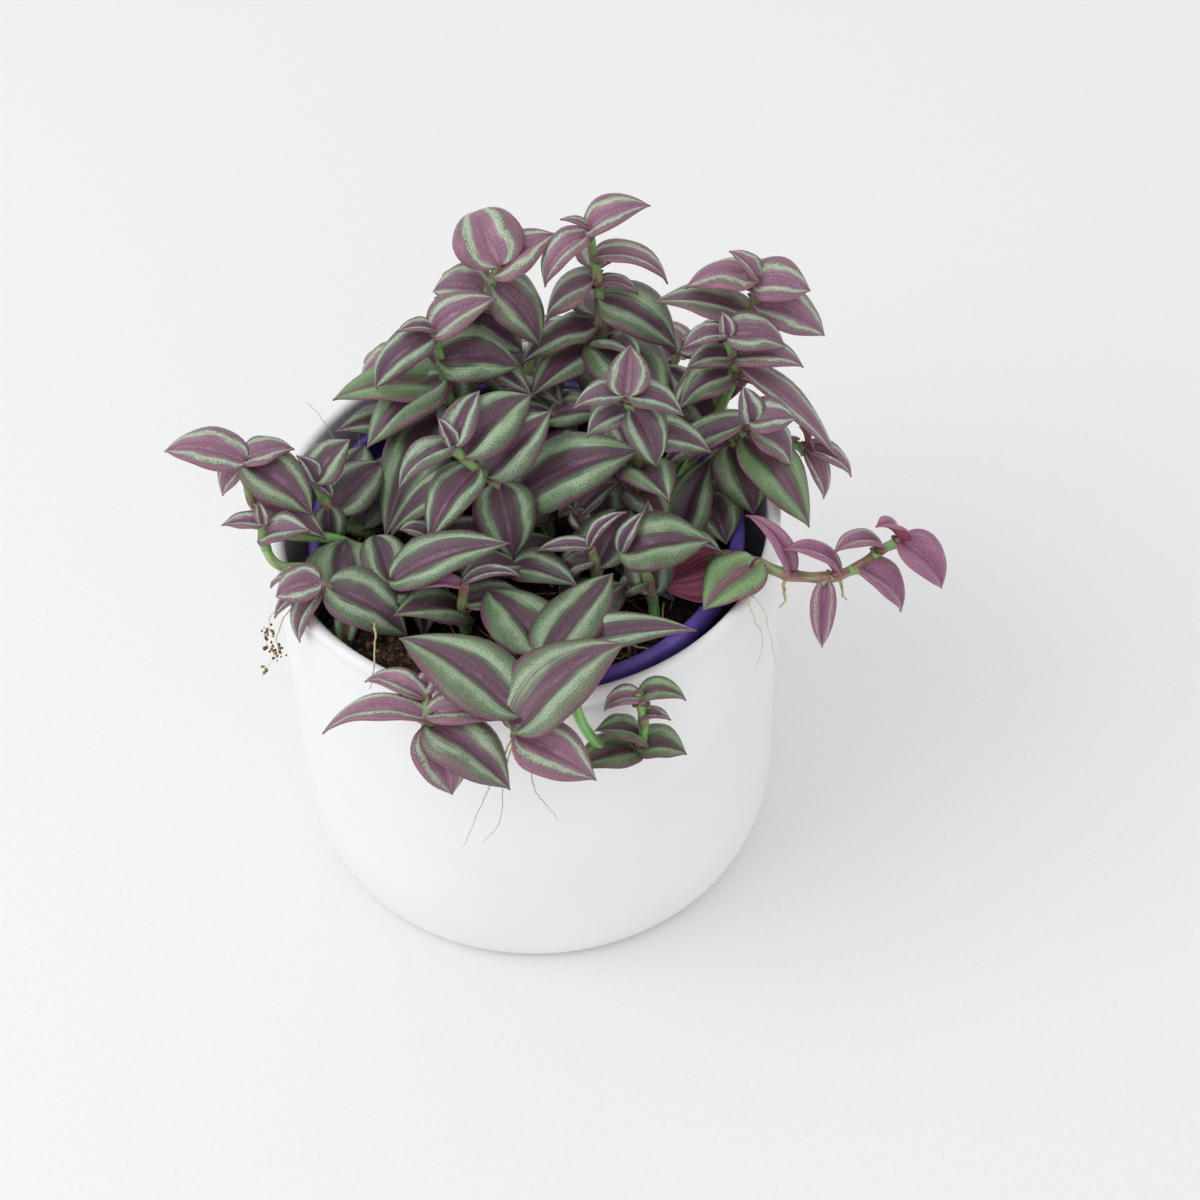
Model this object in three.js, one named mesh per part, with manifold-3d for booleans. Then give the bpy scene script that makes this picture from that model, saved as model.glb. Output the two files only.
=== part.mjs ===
// Potted tradescantia: a white glazed cachepot, a purple plastic nursery pot standing inside it,
// potting soil, and leafy stems that rise from the soil, fill the pot and trail over its rim.
// Units are millimetres, +Z is up, the front is -Y, and the origin is the middle of the pot's foot.
import * as THREE from "three";
import { mergeVertices } from "three/addons/utils/BufferGeometryUtils.js";
import Module from "manifold-3d";

const wasm = await Module();
wasm.setup();

// Driving dimensions.
const GAP = 0.3; // between pieces that touch

const POT_HEIGHT = 118;
const POT_RADIUS = 70; // outside, at the rim
const POT_WALL = 3.7;
const POT_FOOT_RADIUS = 62; // the flat it stands on
const POT_CORNER_HEIGHT = 25; // where the rounded foot meets the wall
const POT_CORNER_RADIUS = 69.4; // outside radius there
const POT_CORNER_POWER = 2.3; // 2 would be a plain quarter of an ellipse
const POT_FLOOR = 5;
const POT_SIDES = 38;

const NURSERY_RIM_RADIUS = 60.2;
const NURSERY_RIM_TOP = 112;
const NURSERY_RIM_HEIGHT = 5;
const NURSERY_RIM_WIDTH = 4;
const NURSERY_FOOT_RADIUS = 45;
const NURSERY_WALL = 1.4;
const NURSERY_SIDES = 30;

const SOIL_EDGE_HEIGHT = 101.5; // its level at the nursery pot's wall
const SOIL_CROWN = 3; // how much higher it stands in the middle
const SOIL_LUMP = 0.9;
const SOIL_RINGS = 3;

const STEM_RADIUS = 1.8; // at the soil
const STEM_TIP_RADIUS = 1.05; // below the youngest leaf
const STEM_SIDES = 5;
const STEM_STEPS = 1; // rings for each stretch of its route
const STEM_POINT = 0.4; // length of its pointed end, as a part of its last stretch

const BLADE_THICKNESS = 0.8;
const BLADE_WIDEST = 0.62; // power that puts a blade's widest place a third of the way along
const BLADE_ARCH = 58; // degrees that a blade turns through from root to tip
// Shares of its length at which a blade has corners, for blades up to each width.
const STATIONS = [
  { upTo: 9, shares: [0, 0.36, 1] },
  { upTo: 16.5, shares: [0, 0.2, 0.58, 1] },
  { upTo: 99, shares: [0, 0.15, 0.42, 0.73, 1] },
];
const CLEARANCE = 0.35; // what a blade keeps from every other shoot
const FREE_FROM = 0.16; // share of its length from which a blade also keeps clear of its own shoot's

// The ways a blade may be bent clear of its neighbours, the smallest bends first.
const LIFTS = [0, 6, -6, 12, -12, 18, -18, 25, -25, 33, -33, 42];
const TURNS = [0, 7, -7, 14, -14, 22, -22, 32, -32];
const SIZES = [1, 0.85]; // a blade that is shorter counts as bent by 15 degrees
const effort = ({ lift, turn, size }) => Math.abs(lift) + Math.abs(turn) + 100 * (1 - size);
const BENDS = LIFTS.flatMap((lift) =>
  TURNS.flatMap((turn) => SIZES.map((size) => ({ lift, turn, size }))),
).sort((a, b) => effort(a) - effort(b));

// Each leafy stem: the route of its stem from inside the soil to the growing tip, and its leaves.
// A leaf is [place along the route, counted in route points, x, y, z of its tip, width,
// roll in degrees, arch in degrees]. "more" is how many further leaves the lower stem carries.
const SHOOTS = [
  {
    name: "shoot_front",
    stem: [[6, -36, 94], [6, -39, 106], [4, -48, 117], [3, -58, 122], [-2, -74, 124.5], [-6, -84, 122]],
    leaves: [
      [4.5, -35, -52, 126, 24, 8], [4.9, 24, -63, 131, 25, -6], [5, 14, -93, 113, 17, 12, 40],
      [3, -12, -33, 122, 23, 10, 45], [3, 43, -54, 124, 14, 0, 45], [3.2, 22.5, -34, 123.5, 18, 0, 45],
    ],
    more: 1,
  },
  {
    name: "shoot_front_left",
    stem: [[-24, -38, 94], [-25, -41, 106], [-26, -51, 117.5], [-28, -64, 122.5], [-28, -74, 123.5],
      [-28, -79, 122]],
    leaves: [
      [4.7, -55, -78, 120, 14, 18, 80], [5, -8, -92, 110, 19, 0, 70], [4.9, -23, -89, 106, 16],
      [4.4, -9, -79, 118, 12], [3.7, -44, -62, 121, 9, 0, 80], [3.4, -25, -66, 129, 8],
    ],
    more: 0,
  },
  {
    name: "shoot_centre_left",
    stem: [[8, 4, 94], [6, 4, 106], [3, 1, 119], [-5, -5, 131], [-12, -7, 141], [-18, -5, 147.5]],
    leaves: [
      [2.5, 33, -4, 142, 22, 20, 40], [5, -10, 10, 154, 11, 0, 40], [5, -33, -12, 140, 13, 10, 75],
      [5, -22, 1, 153, 6], [4, -26, -22, 130, 15, 0, 60], [3.7, 9, 6, 149, 17, 15, 40],
      [4.5, 8, 8, 148, 19, 5, 65], [3.3, -4, -19, 118, 18, 0, 50], [3.6, -38, -5, 113, 16],
    ],
    more: 2,
  },
  {
    name: "shoot_centre",
    stem: [[30, 4, 94], [30, 3, 106], [31, 0, 128], [31, -2, 147], [28, -5, 162]],
    leaves: [
      [4, 30, 7, 170, 12.5, 0, 20], [4, 14, -4, 158, 12, 5, 60], [4, 43, -7, 156, 14, -5, 60],
      [3.6, 35, -12, 143, 14], [3.5, 19, -10, 149, 13], [2.8, 47, -14, 142, 15],
    ],
    more: 5,
  },
  {
    name: "shoot_back_centre",
    stem: [[24, 40, 94], [24, 42, 106], [25, 47, 128], [24, 48, 140], [24, 49, 153], [22, 50, 173]],
    leaves: [
      [5, 39, 51, 180, 13, 10, 75], [5, 14, 50, 178, 5, 0, 30], [4.9, 9, 43, 160, 12, 0, 75],
      [4.5, 43, 46, 156, 11, 0, 95], [4.1, 35, 47, 152, 7, 0, 75], [4.15, 9, 48, 143, 19, 10, 70],
      [3.8, 45, 39, 138, 18, 12, 75], [3, 1, 45, 130, 17, 10, 55], [2.5, 40, 18, 130, 23, 0, 50],
      [2.3, 3, 32, 132, 18, 10, 45], [3.2, 22, 73, 134, 17], [4.3, 24, 68, 152, 13],
    ],
    more: 4,
  },
  {
    name: "shoot_back_left",
    stem: [[-16, 36, 94], [-15, 40, 106], [-14, 47, 126], [-12, 50, 144], [-7, 49, 154], [-3, 48, 165]],
    leaves: [
      [5, -8.5, 65, 170, 20, -12, 115], [4.6, 14, 47, 170, 15, 15, 60], [4, -22, 52, 153, 17, -12, 80],
      [4.3, 8, 40, 142, 19, 0, 60], [3, 2, 46, 134, 17, 10], [2.9, -22, 58, 146, 15],
      [3.4, -14, 72, 144, 15], [2.5, -8, 74, 126, 17],
    ],
    more: 3,
  },
  {
    name: "shoot_left_back",
    stem: [[-20, 27, 94], [-20, 29, 106], [-19, 34, 120], [-20, 36, 134], [-21, 36, 144], [-22, 36, 152]],
    leaves: [
      [3, -43, 21, 124, 23, 14, 50], [3.8, 1, 34, 139, 20, 14, 70], [4.8, -39, 30, 138, 14, -10, 90],
      [5, -4, 40, 160, 14, 15, 60], [5, -32, 33, 156, 8, 0, 60], [2.8, -52, 33, 132, 18],
      [2.2, -39, -4, 113, 20, 0, 60],
    ],
    more: 4,
  },
  {
    name: "shoot_back_right",
    stem: [[40, 25, 94], [44, 27, 106], [55, 32, 127], [65, 36, 150], [66, 37, 164]],
    leaves: [
      [3.8, 47, 39, 160, 19, 14, 80], [3.8, 81, 34, 161, 16, 14, 75], [4, 59, 40, 172, 9, 0, 40],
      [3.3, 85, 31, 147, 16, 14, 75], [3, 38, 38, 157, 22, 14, 45], [3.5, 66, 58, 152, 14],
      [2.6, 58, 58, 130, 17],
    ],
    more: 3,
  },
  {
    name: "shoot_right",
    stem: [[38, 15, 94], [42, 16, 106], [53, 20, 126], [59, 23, 142], [59, 22, 149], [57, 23, 156]],
    leaves: [
      [5, 73, 22, 152, 14, 12, 75], [5, 45, 22, 153, 11, 8, 70], [5, 56, 27, 162, 6, 0, 30],
      [4, 46, 22, 146, 14, 8, 60], [4, 78, 20, 146, 12, 12, 80], [4.2, 65, 22, 156, 6],
      [3, 44, 19, 134, 19, 14, 55], [3.4, 87, 10, 120, 13.5, -8, 35], [2.9, 68, 26, 132, 11],
    ],
    more: 2,
  },
  {
    name: "shoot_right_low",
    stem: [[40, 10, 94], [43, 11, 106], [51, 13, 118], [57, 9, 130], [60, 5, 138], [62, 3, 143]],
    leaves: [
      [3.6, 77.5, -8, 112, 19, 0, 45], [3, 65, -1, 113, 19, 0, 45], [4.6, 36, 2, 124, 16, 10, 50],
      [4.4, 70, 1, 126, 16, 0, 60], [5, 74, 2, 144, 13, 14, 70], [5, 60, 9, 151, 9, 0, 50],
      [3, 45, 6, 126, 8, 0, 70],
    ],
    more: 1,
  },
  {
    name: "shoot_right_small",
    stem: [[47, 4, 94], [49, 6, 106], [56, 12, 116], [65, 15, 122], [73, 15, 123.5], [78, 13, 122]],
    leaves: [
      [5, 91, 9, 114, 9, 0, 80], [5, 85, 5, 110, 8, 0, 60], [5, 77, 13, 131, 8, 0, 50],
      [4.2, 69, 8, 128, 8, 0, 70],
    ],
    more: 0,
  },
  {
    name: "shoot_right_inner",
    stem: [[46, -4, 94], [47, -4, 106], [49, 0, 112], [50, 3, 116]],
    leaves: [[2.7, 54.5, -12, 114, 16, 0, 50], [3, 35, 8, 112, 11, 10, 50]],
    more: 0,
  },
  {
    name: "shoot_mid_right",
    stem: [[33, -29, 94], [33, -28, 106], [31, -27, 119], [25, -25, 125]],
    leaves: [[3, 49, -25, 127, 19, 14, 75], [3, 33, -18, 132, 7], [1.7, 23, -29, 110, 10]],
    more: 1,
  },
  {
    name: "shoot_right_trailing",
    stem: [[44, -16, 94], [46, -17, 106], [52, -22, 117], [60, -29, 121.8], [68, -34, 122.2],
      [76, -36, 122.2], [81, -36, 122.5], [87, -35, 124.5], [93, -32, 127], [98, -31, 129]],
    leaves: [
      [3.1, 45, -42, 118, 18, 6, 30], [2.2, 35, -26, 108.5, 20, 180, 20], [4.1, 58, -21, 132, 7, 0, 110],
      [6, 66, -33, 129, 11, 14, 80], [5.4, 77, -44, 103, 8, 0, 30], [8, 80, -35, 130, 11, 14, 80],
      [7, 98, -41, 112, 12, 0, 80], [9, 91, -33, 137, 10, 14, 70], [9, 109, -38, 117, 13, 10, 75],
    ],
    more: 0,
  },
  {
    name: "shoot_front_right",
    stem: [[16, -38, 94], [16, -41, 106], [13, -51, 115], [10, -61, 119.8], [9, -69, 121],
      [12, -75.5, 113], [19, -77, 103], [25, -75.5, 102.5], [27, -74, 110], [26.5, -73.5, 118],
      [26, -73, 123]],
    leaves: [
      [9.3, 38, -75, 121, 9, 0, 110], [9.4, 17, -75, 119, 8, 0, 110], [7, 8, -83, 106, 14, 0, 50],
      [7.4, 14, -78, 115, 12, 0, 60], [7.2, 38, -78, 103, 13, 0, 60], [8.3, 34, -77, 116, 6, 0, 90],
    ],
    more: 0,
  },
  {
    name: "shoot_left_trailing",
    stem: [[-42, -2, 94], [-44, -3, 106], [-52, -6, 117], [-65, -8, 122.3], [-71, -5, 127], [-74, -1, 132],
      [-74, 2, 140]],
    leaves: [
      [6, -96, 7, 141, 14, -14, 75], [6, -81, -2, 132, 10, 0, 40], [6, -57, -8, 128, 17, 8, 60],
      [4.6, -54, -9, 120, 12, 8], [6, -61, 4, 136, 12, 0, 60],
    ],
    more: 0,
  },
  {
    name: "shoot_left",
    stem: [[-43, -13, 94], [-45, -14, 106], [-53, -17, 117], [-66, -20, 122.3], [-70, -16, 127],
      [-70, -13, 131]],
    leaves: [[5, -81, -13, 132, 8, 0, 30], [4.2, -58, -10, 132, 13, 0, 50], [5, -71, -8, 135, 5]],
    more: 0,
  },
  {
    name: "shoot_left_front",
    stem: [[-37, -26, 94], [-39, -28, 106], [-43, -31, 113], [-48, -31, 119], [-52, -31, 123.5],
      [-55, -32, 127]],
    leaves: [
      [4.3, -32, -38, 113, 18, 10, 65], [3.2, -49, -6, 117, 24, 0, 35], [5, -67, -33, 124, 13, -10, 75],
      [5, -68, -35, 118, 8], [4.8, -72, -19, 121, 9], [4.6, -62, -37, 110, 10], [2.8, -50, -40, 108, 8],
    ],
    more: 1,
  },
  {
    name: "shoot_left_inner",
    stem: [[-42, 8, 94], [-44, 6, 106], [-50, 2, 114], [-54, 2, 123], [-56, 3, 130]],
    leaves: [
      [4, -46, 12, 137, 14, 0, 45], [4, -61, 8, 136, 7, 0, 40], [4, -52, 0, 127, 6],
      [2.6, -38, 18, 120, 16, 10, 50], [2.9, -57, -9, 113, 11],
    ],
    more: 3,
  },
  {
    name: "shoot_front_inner",
    stem: [[-18, -28, 94], [-18, -31, 106], [-18, -36, 120], [-17, -36, 128]],
    leaves: [[2.7, -30, -37, 128, 6, 0, 60], [2.9, -2, -35, 128, 6, 0, 90]],
    more: 2,
  },
  {
    name: "shoot_mid_left",
    stem: [[-34, -18, 94], [-35, -20, 106], [-38, -28, 117], [-36, -30, 124]],
    leaves: [[3, -2, -31, 130, 16, 12, 45], [2.4, -20, -30, 112, 15, 10], [2.7, -44, -10, 118, 14]],
    more: 2,
  },
  {
    name: "shoot_small_left",
    stem: [[-26, -8, 94], [-26, -9, 106], [-26, -12, 117], [-27, -14, 123]],
    leaves: [
      [3, -34, -13, 127, 9, 0, 90], [3, -32, -20, 118, 7], [2.8, -20, -8, 124, 8], [2.3, -3, -12, 118, 13],
    ],
    more: 2,
  },
  {
    name: "shoot_mid",
    stem: [[18, -22, 94], [18, -23, 106], [18, -24, 118], [17, -24, 126]],
    leaves: [[3, 27, -20, 135, 6, 0, 80], [3, 2, -22, 124, 7, 0, 40], [2.3, 8, -26, 114, 9, 0, 90]],
    more: 2,
  },
  {
    name: "shoot_mid_back",
    stem: [[28, -10, 94], [26, -9, 106], [20, -8, 117], [13, -7, 123]],
    leaves: [[3, 16, -12, 118, 8], [2.7, 26, 0, 126, 9], [3, 9, -7, 121, 6], [1.9, 8, -21, 104, 11]],
    more: 4,
  },
  {
    name: "shoot_back_inner",
    stem: [[5, 21, 94], [5, 23, 106], [7, 28, 116], [9, 31, 122]],
    leaves: [
      [3, -8, 24, 124, 14], [3, 25, 28, 125, 15], [2.8, 8, 9, 122, 15], [2.3, 20, 46, 118, 15],
      [2.3, -6, 44, 119, 14],
    ],
    more: 1,
  },
  {
    name: "shoot_low_centre",
    stem: [[-8, -12, 94], [-8, -13, 106], [-6, -18, 113], [-4, -22, 118]],
    leaves: [
      [3, 14, -30, 120, 14], [3, -20, -34, 118, 13], [2.4, -22, -12, 116, 14], [2.2, 12, -12, 114, 14],
    ],
    more: 1,
  },
  {
    name: "shoot_low_right",
    stem: [[38, -9, 94], [38, -10, 106], [40, -13, 112], [41, -15, 117]],
    leaves: [[3, 28, -20, 119, 13], [2.4, 27, -2, 115, 13], [3, 52, -22, 115, 8, 0, 80]],
    more: 1,
  },
  {
    name: "shoot_rear_left",
    stem: [[-26, 31, 94], [-27, 35, 106], [-28, 46, 117], [-30, 57, 122.5], [-32, 66, 119]],
    leaves: [[4, -42, 78, 102, 16], [4, -18, 82, 106, 15], [3.3, -46, 60, 112, 15], [2.8, -14, 62, 122, 16]],
    more: 2,
  },
  {
    name: "shoot_rear_right",
    stem: [[28, 28, 94], [32, 33, 106], [40, 44, 117], [46, 54, 122.5], [49, 62, 117]],
    leaves: [[4, 58, 72, 102, 16], [4, 36, 76, 108, 15], [3.2, 66, 54, 118, 15], [2.8, 30, 66, 122, 16]],
    more: 2,
  },
  {
    name: "shoot_rear",
    stem: [[2, 42, 94], [2, 45, 106], [3, 54, 116.5], [5, 64, 121.8], [5, 74, 118], [4, 78, 108]],
    leaves: [[5, 2, 90, 92, 14], [4.6, 22, 84, 106, 15], [4.2, -14, 80, 112, 15]],
    more: 2,
  },
];

const MATERIALS = {
  ceramic: { color: "#f1f1ef", roughness: 0.28, metalness: 0 },
  plastic: { color: "#3b2c82", roughness: 0.42, metalness: 0 },
  soil: { color: "#2c211a", roughness: 0.95, metalness: 0 },
  leaf: { color: "#7f8f76", roughness: 0.5, metalness: 0 },
  purpleLeaf: { color: "#75506a", roughness: 0.5, metalness: 0 },
};

const radians = THREE.MathUtils.degToRad;
const point = ([x, y, z]) => new THREE.Vector3(x, y, z);

// Random numbers from 0 to 1 that are the same on every run.
function randomFrom(seed) {
  let state = seed;
  return () => {
    state = (state * 16807) % 2147483647;
    return state / 2147483647;
  };
}

// A solid from a closed list of corners and the triangles between them.
function solidFrom(corners, triangles) {
  const vertProperties = new Float32Array(corners.flatMap((c) => [c.x, c.y, c.z]));
  const triVerts = new Uint32Array(triangles.flat());
  return new wasm.Manifold(new wasm.Mesh({ numProp: 3, vertProperties, triVerts }));
}

function solidFromGeometry(geometry) {
  const bare = geometry.clone();
  bare.deleteAttribute("normal");
  bare.deleteAttribute("uv");
  const merged = mergeVertices(bare, 1e-4);
  const vertProperties = new Float32Array(merged.attributes.position.array);
  const triVerts = new Uint32Array(merged.index.array);
  return new wasm.Manifold(new wasm.Mesh({ numProp: 3, vertProperties, triVerts }));
}

function meshFrom(name, solid, material) {
  const { vertProperties, triVerts } = solid.getMesh();
  const geometry = new THREE.BufferGeometry();
  geometry.setAttribute("position", new THREE.BufferAttribute(vertProperties, 3));
  geometry.setIndex(new THREE.BufferAttribute(triVerts, 1));
  geometry.computeVertexNormals();
  const mesh = new THREE.Mesh(geometry, new THREE.MeshStandardMaterial(material));
  mesh.name = name;
  return mesh;
}

// A turned piece: its profile of [radius, height] runs round the section, with the solid on its left.
function turned(profile, sides) {
  const points = profile.map(([r, z]) => new THREE.Vector2(r, z));
  return new THREE.LatheGeometry(points, sides).rotateX(Math.PI / 2);
}

// Points on the rounded corner between a flat foot and a wall.
function corner(foot, wall, bottom, top, power, steps) {
  return Array.from({ length: steps + 1 }, (_, i) => {
    const angle = ((i / steps) * Math.PI) / 2;
    const out = Math.sin(angle) ** (2 / power);
    const up = 1 - Math.cos(angle) ** (2 / power);
    return [foot + (wall - foot) * out, bottom + (top - bottom) * up];
  });
}

function cachepot() {
  const lip = POT_WALL / 2;
  const middle = POT_RADIUS - lip;
  const lipArc = [0, 45, 90, 135, 180].map((degrees) => [
    middle + lip * Math.cos(radians(degrees)),
    POT_HEIGHT - lip + lip * Math.sin(radians(degrees)),
  ]);
  const inside = corner(
    POT_FOOT_RADIUS - POT_WALL,
    POT_CORNER_RADIUS - POT_WALL,
    POT_FLOOR,
    POT_CORNER_HEIGHT,
    POT_CORNER_POWER,
    3,
  ).reverse();
  const outside = corner(POT_FOOT_RADIUS, POT_CORNER_RADIUS, 0, POT_CORNER_HEIGHT, POT_CORNER_POWER, 5);
  return turned([[0, 0], ...outside, ...lipArc, ...inside, [0, POT_FLOOR]], POT_SIDES);
}

// The nursery pot's wall leans out from its foot to its rolled rim.
const nurseryFoot = POT_FLOOR + GAP;
const nurseryNeck = NURSERY_RIM_TOP - NURSERY_RIM_HEIGHT;
const nurseryNeckRadius = NURSERY_RIM_RADIUS - NURSERY_RIM_WIDTH + NURSERY_WALL;

function nurseryRadius(height) {
  const share = (height - nurseryFoot) / (nurseryNeck - nurseryFoot);
  return NURSERY_FOOT_RADIUS + (nurseryNeckRadius - NURSERY_FOOT_RADIUS) * share;
}

function nurseryPot() {
  const edge = 1.2; // rounding of the rolled rim
  const inner = NURSERY_RIM_RADIUS - NURSERY_RIM_WIDTH;
  const floor = nurseryFoot + NURSERY_WALL;
  const profile = [
    [0, nurseryFoot],
    [NURSERY_FOOT_RADIUS, nurseryFoot],
    [nurseryNeckRadius, nurseryNeck],
    [NURSERY_RIM_RADIUS, nurseryNeck],
    [NURSERY_RIM_RADIUS, NURSERY_RIM_TOP - edge],
    [NURSERY_RIM_RADIUS - edge, NURSERY_RIM_TOP],
    [inner + edge, NURSERY_RIM_TOP],
    [inner, NURSERY_RIM_TOP - edge],
    [inner, nurseryNeck],
    [nurseryRadius(floor) - NURSERY_WALL, floor],
    [0, floor],
  ];
  return turned(profile, NURSERY_SIDES);
}

// The soil's lumpy top, over any place on it.
function soilHeight(x, y) {
  const share = Math.hypot(x, y) / nurseryRadius(SOIL_EDGE_HEIGHT);
  const lumps = Math.sin(0.31 * x + 1.7) * Math.cos(0.27 * y) + 0.6 * Math.sin(0.19 * (x - y) + 0.6);
  return SOIL_EDGE_HEIGHT + SOIL_CROWN * (1 - share * share) + SOIL_LUMP * lumps;
}

function soilBody() {
  const bottom = nurseryFoot + NURSERY_WALL + GAP;
  const room = NURSERY_WALL + GAP + 0.25; // 0.25 keeps the flats of both rounds apart
  const corners = [new THREE.Vector3(0, 0, soilHeight(0, 0))];
  const ring = (radius, height) => {
    for (let i = 0; i < NURSERY_SIDES; i++) {
      const angle = (2 * Math.PI * i) / NURSERY_SIDES;
      const x = radius * Math.sin(angle);
      const y = radius * Math.cos(angle);
      corners.push(new THREE.Vector3(x, y, height ?? soilHeight(x, y)));
    }
  };
  const topRadius = nurseryRadius(SOIL_EDGE_HEIGHT - SOIL_LUMP) - room;
  for (let i = 1; i <= SOIL_RINGS; i++) ring((topRadius * i) / SOIL_RINGS);
  ring(nurseryRadius(bottom) - room, bottom);
  const last = corners.push(new THREE.Vector3(0, 0, bottom)) - 1;
  const triangles = [];
  const at = (row, i) => 1 + (row - 1) * NURSERY_SIDES + (i % NURSERY_SIDES);
  for (let i = 0; i < NURSERY_SIDES; i++) {
    triangles.push([0, at(1, i + 1), at(1, i)]);
    for (let row = 1; row <= SOIL_RINGS; row++) {
      triangles.push([at(row, i), at(row, i + 1), at(row + 1, i)]);
      triangles.push([at(row, i + 1), at(row + 1, i + 1), at(row + 1, i)]);
    }
    triangles.push([last, at(SOIL_RINGS + 1, i), at(SOIL_RINGS + 1, i + 1)]);
  }
  return solidFrom(corners, triangles);
}

// A place on a smooth curve through a stem's route points.
function onStem(route, place) {
  const last = route.length - 1;
  const i = Math.min(Math.floor(place), last - 1);
  const t = place - i;
  const [a, b, c, d] = [i - 1, i, i + 1, i + 2].map((k) => point(route[Math.min(Math.max(k, 0), last)]));
  const value = (p, q, r, s) =>
    0.5 * (2 * q + (r - p) * t + (2 * p - 5 * q + 4 * r - s) * t * t + (3 * q - p - 3 * r + s) * t ** 3);
  return new THREE.Vector3(value(a.x, b.x, c.x, d.x), value(a.y, b.y, c.y, d.y), value(a.z, b.z, c.z, d.z));
}

// The stem as a tube that narrows upwards and closes in a point. "more" makes it thicker all over.
function stemSolid(route, more = 0, length = route.length - 1) {
  const whole = route.length - 1;
  const rings = Math.round(length * STEM_STEPS);
  const centres = Array.from({ length: rings + 1 }, (_, i) => onStem(route, i / STEM_STEPS));
  const corners = [];
  let side = new THREE.Vector3(1, 0, 0);
  centres.forEach((centre, i) => {
    const ahead = centres[Math.min(i + 1, rings)].clone().sub(centres[Math.max(i - 1, 0)]).normalize();
    side = side.clone().addScaledVector(ahead, -side.dot(ahead)).normalize();
    const other = ahead.clone().cross(side);
    const share = i / STEM_STEPS / whole;
    const radius = STEM_RADIUS + (STEM_TIP_RADIUS - STEM_RADIUS) * share + more;
    for (let k = 0; k < STEM_SIDES; k++) {
      const angle = (2 * Math.PI * k) / STEM_SIDES;
      corners.push(
        centre
          .clone()
          .addScaledVector(side, radius * Math.cos(angle))
          .addScaledVector(other, radius * Math.sin(angle)),
      );
    }
  });
  const start = corners.push(centres[0].clone()) - 1;
  const ahead = centres[rings].clone().sub(centres[rings - 1]);
  const end = corners.push(centres[rings].clone().addScaledVector(ahead, STEM_POINT)) - 1;
  const triangles = [];
  for (let k = 0; k < STEM_SIDES; k++) {
    const next = (k + 1) % STEM_SIDES;
    triangles.push([start, next, k]);
    triangles.push([end, rings * STEM_SIDES + k, rings * STEM_SIDES + next]);
    for (let i = 0; i < rings; i++) {
      const low = i * STEM_SIDES;
      const high = low + STEM_SIDES;
      triangles.push([low + k, low + next, high + k]);
      triangles.push([low + next, high + next, high + k]);
    }
  }
  return solidFrom(corners, triangles);
}

// The plain hole that a stem stands in, a gap wider and deeper than the stem.
function holeSolid([[x, y, z], ...rest]) {
  return stemSolid([[x, y, z - GAP], ...rest], GAP, 2);
}

// Where a blade's tip goes when it is lifted and turned about its root.
function bentTip(root, tip, { lift, turn, size }) {
  const reach = tip.clone().sub(root);
  const flat = Math.hypot(reach.x, reach.y);
  const length = size * reach.length();
  const bearing = Math.atan2(reach.y, reach.x) + radians(turn);
  const rise = Math.min(Math.atan2(reach.z, flat) + radians(lift), radians(80));
  return new THREE.Vector3(
    root.x + length * Math.cos(rise) * Math.cos(bearing),
    root.y + length * Math.cos(rise) * Math.sin(bearing),
    root.z + length * Math.sin(rise),
  );
}

// Half the blade's width at a share of its length, as a part of its greatest half width.
const outline = (share) => Math.sin(Math.PI * share ** BLADE_WIDEST);

// A young narrow blade is folded up along its midrib, and a broad one lies nearly flat.
const foldOf = (width) => radians(Math.min(Math.max(44 - 1.8 * width, 11), 36));

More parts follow.
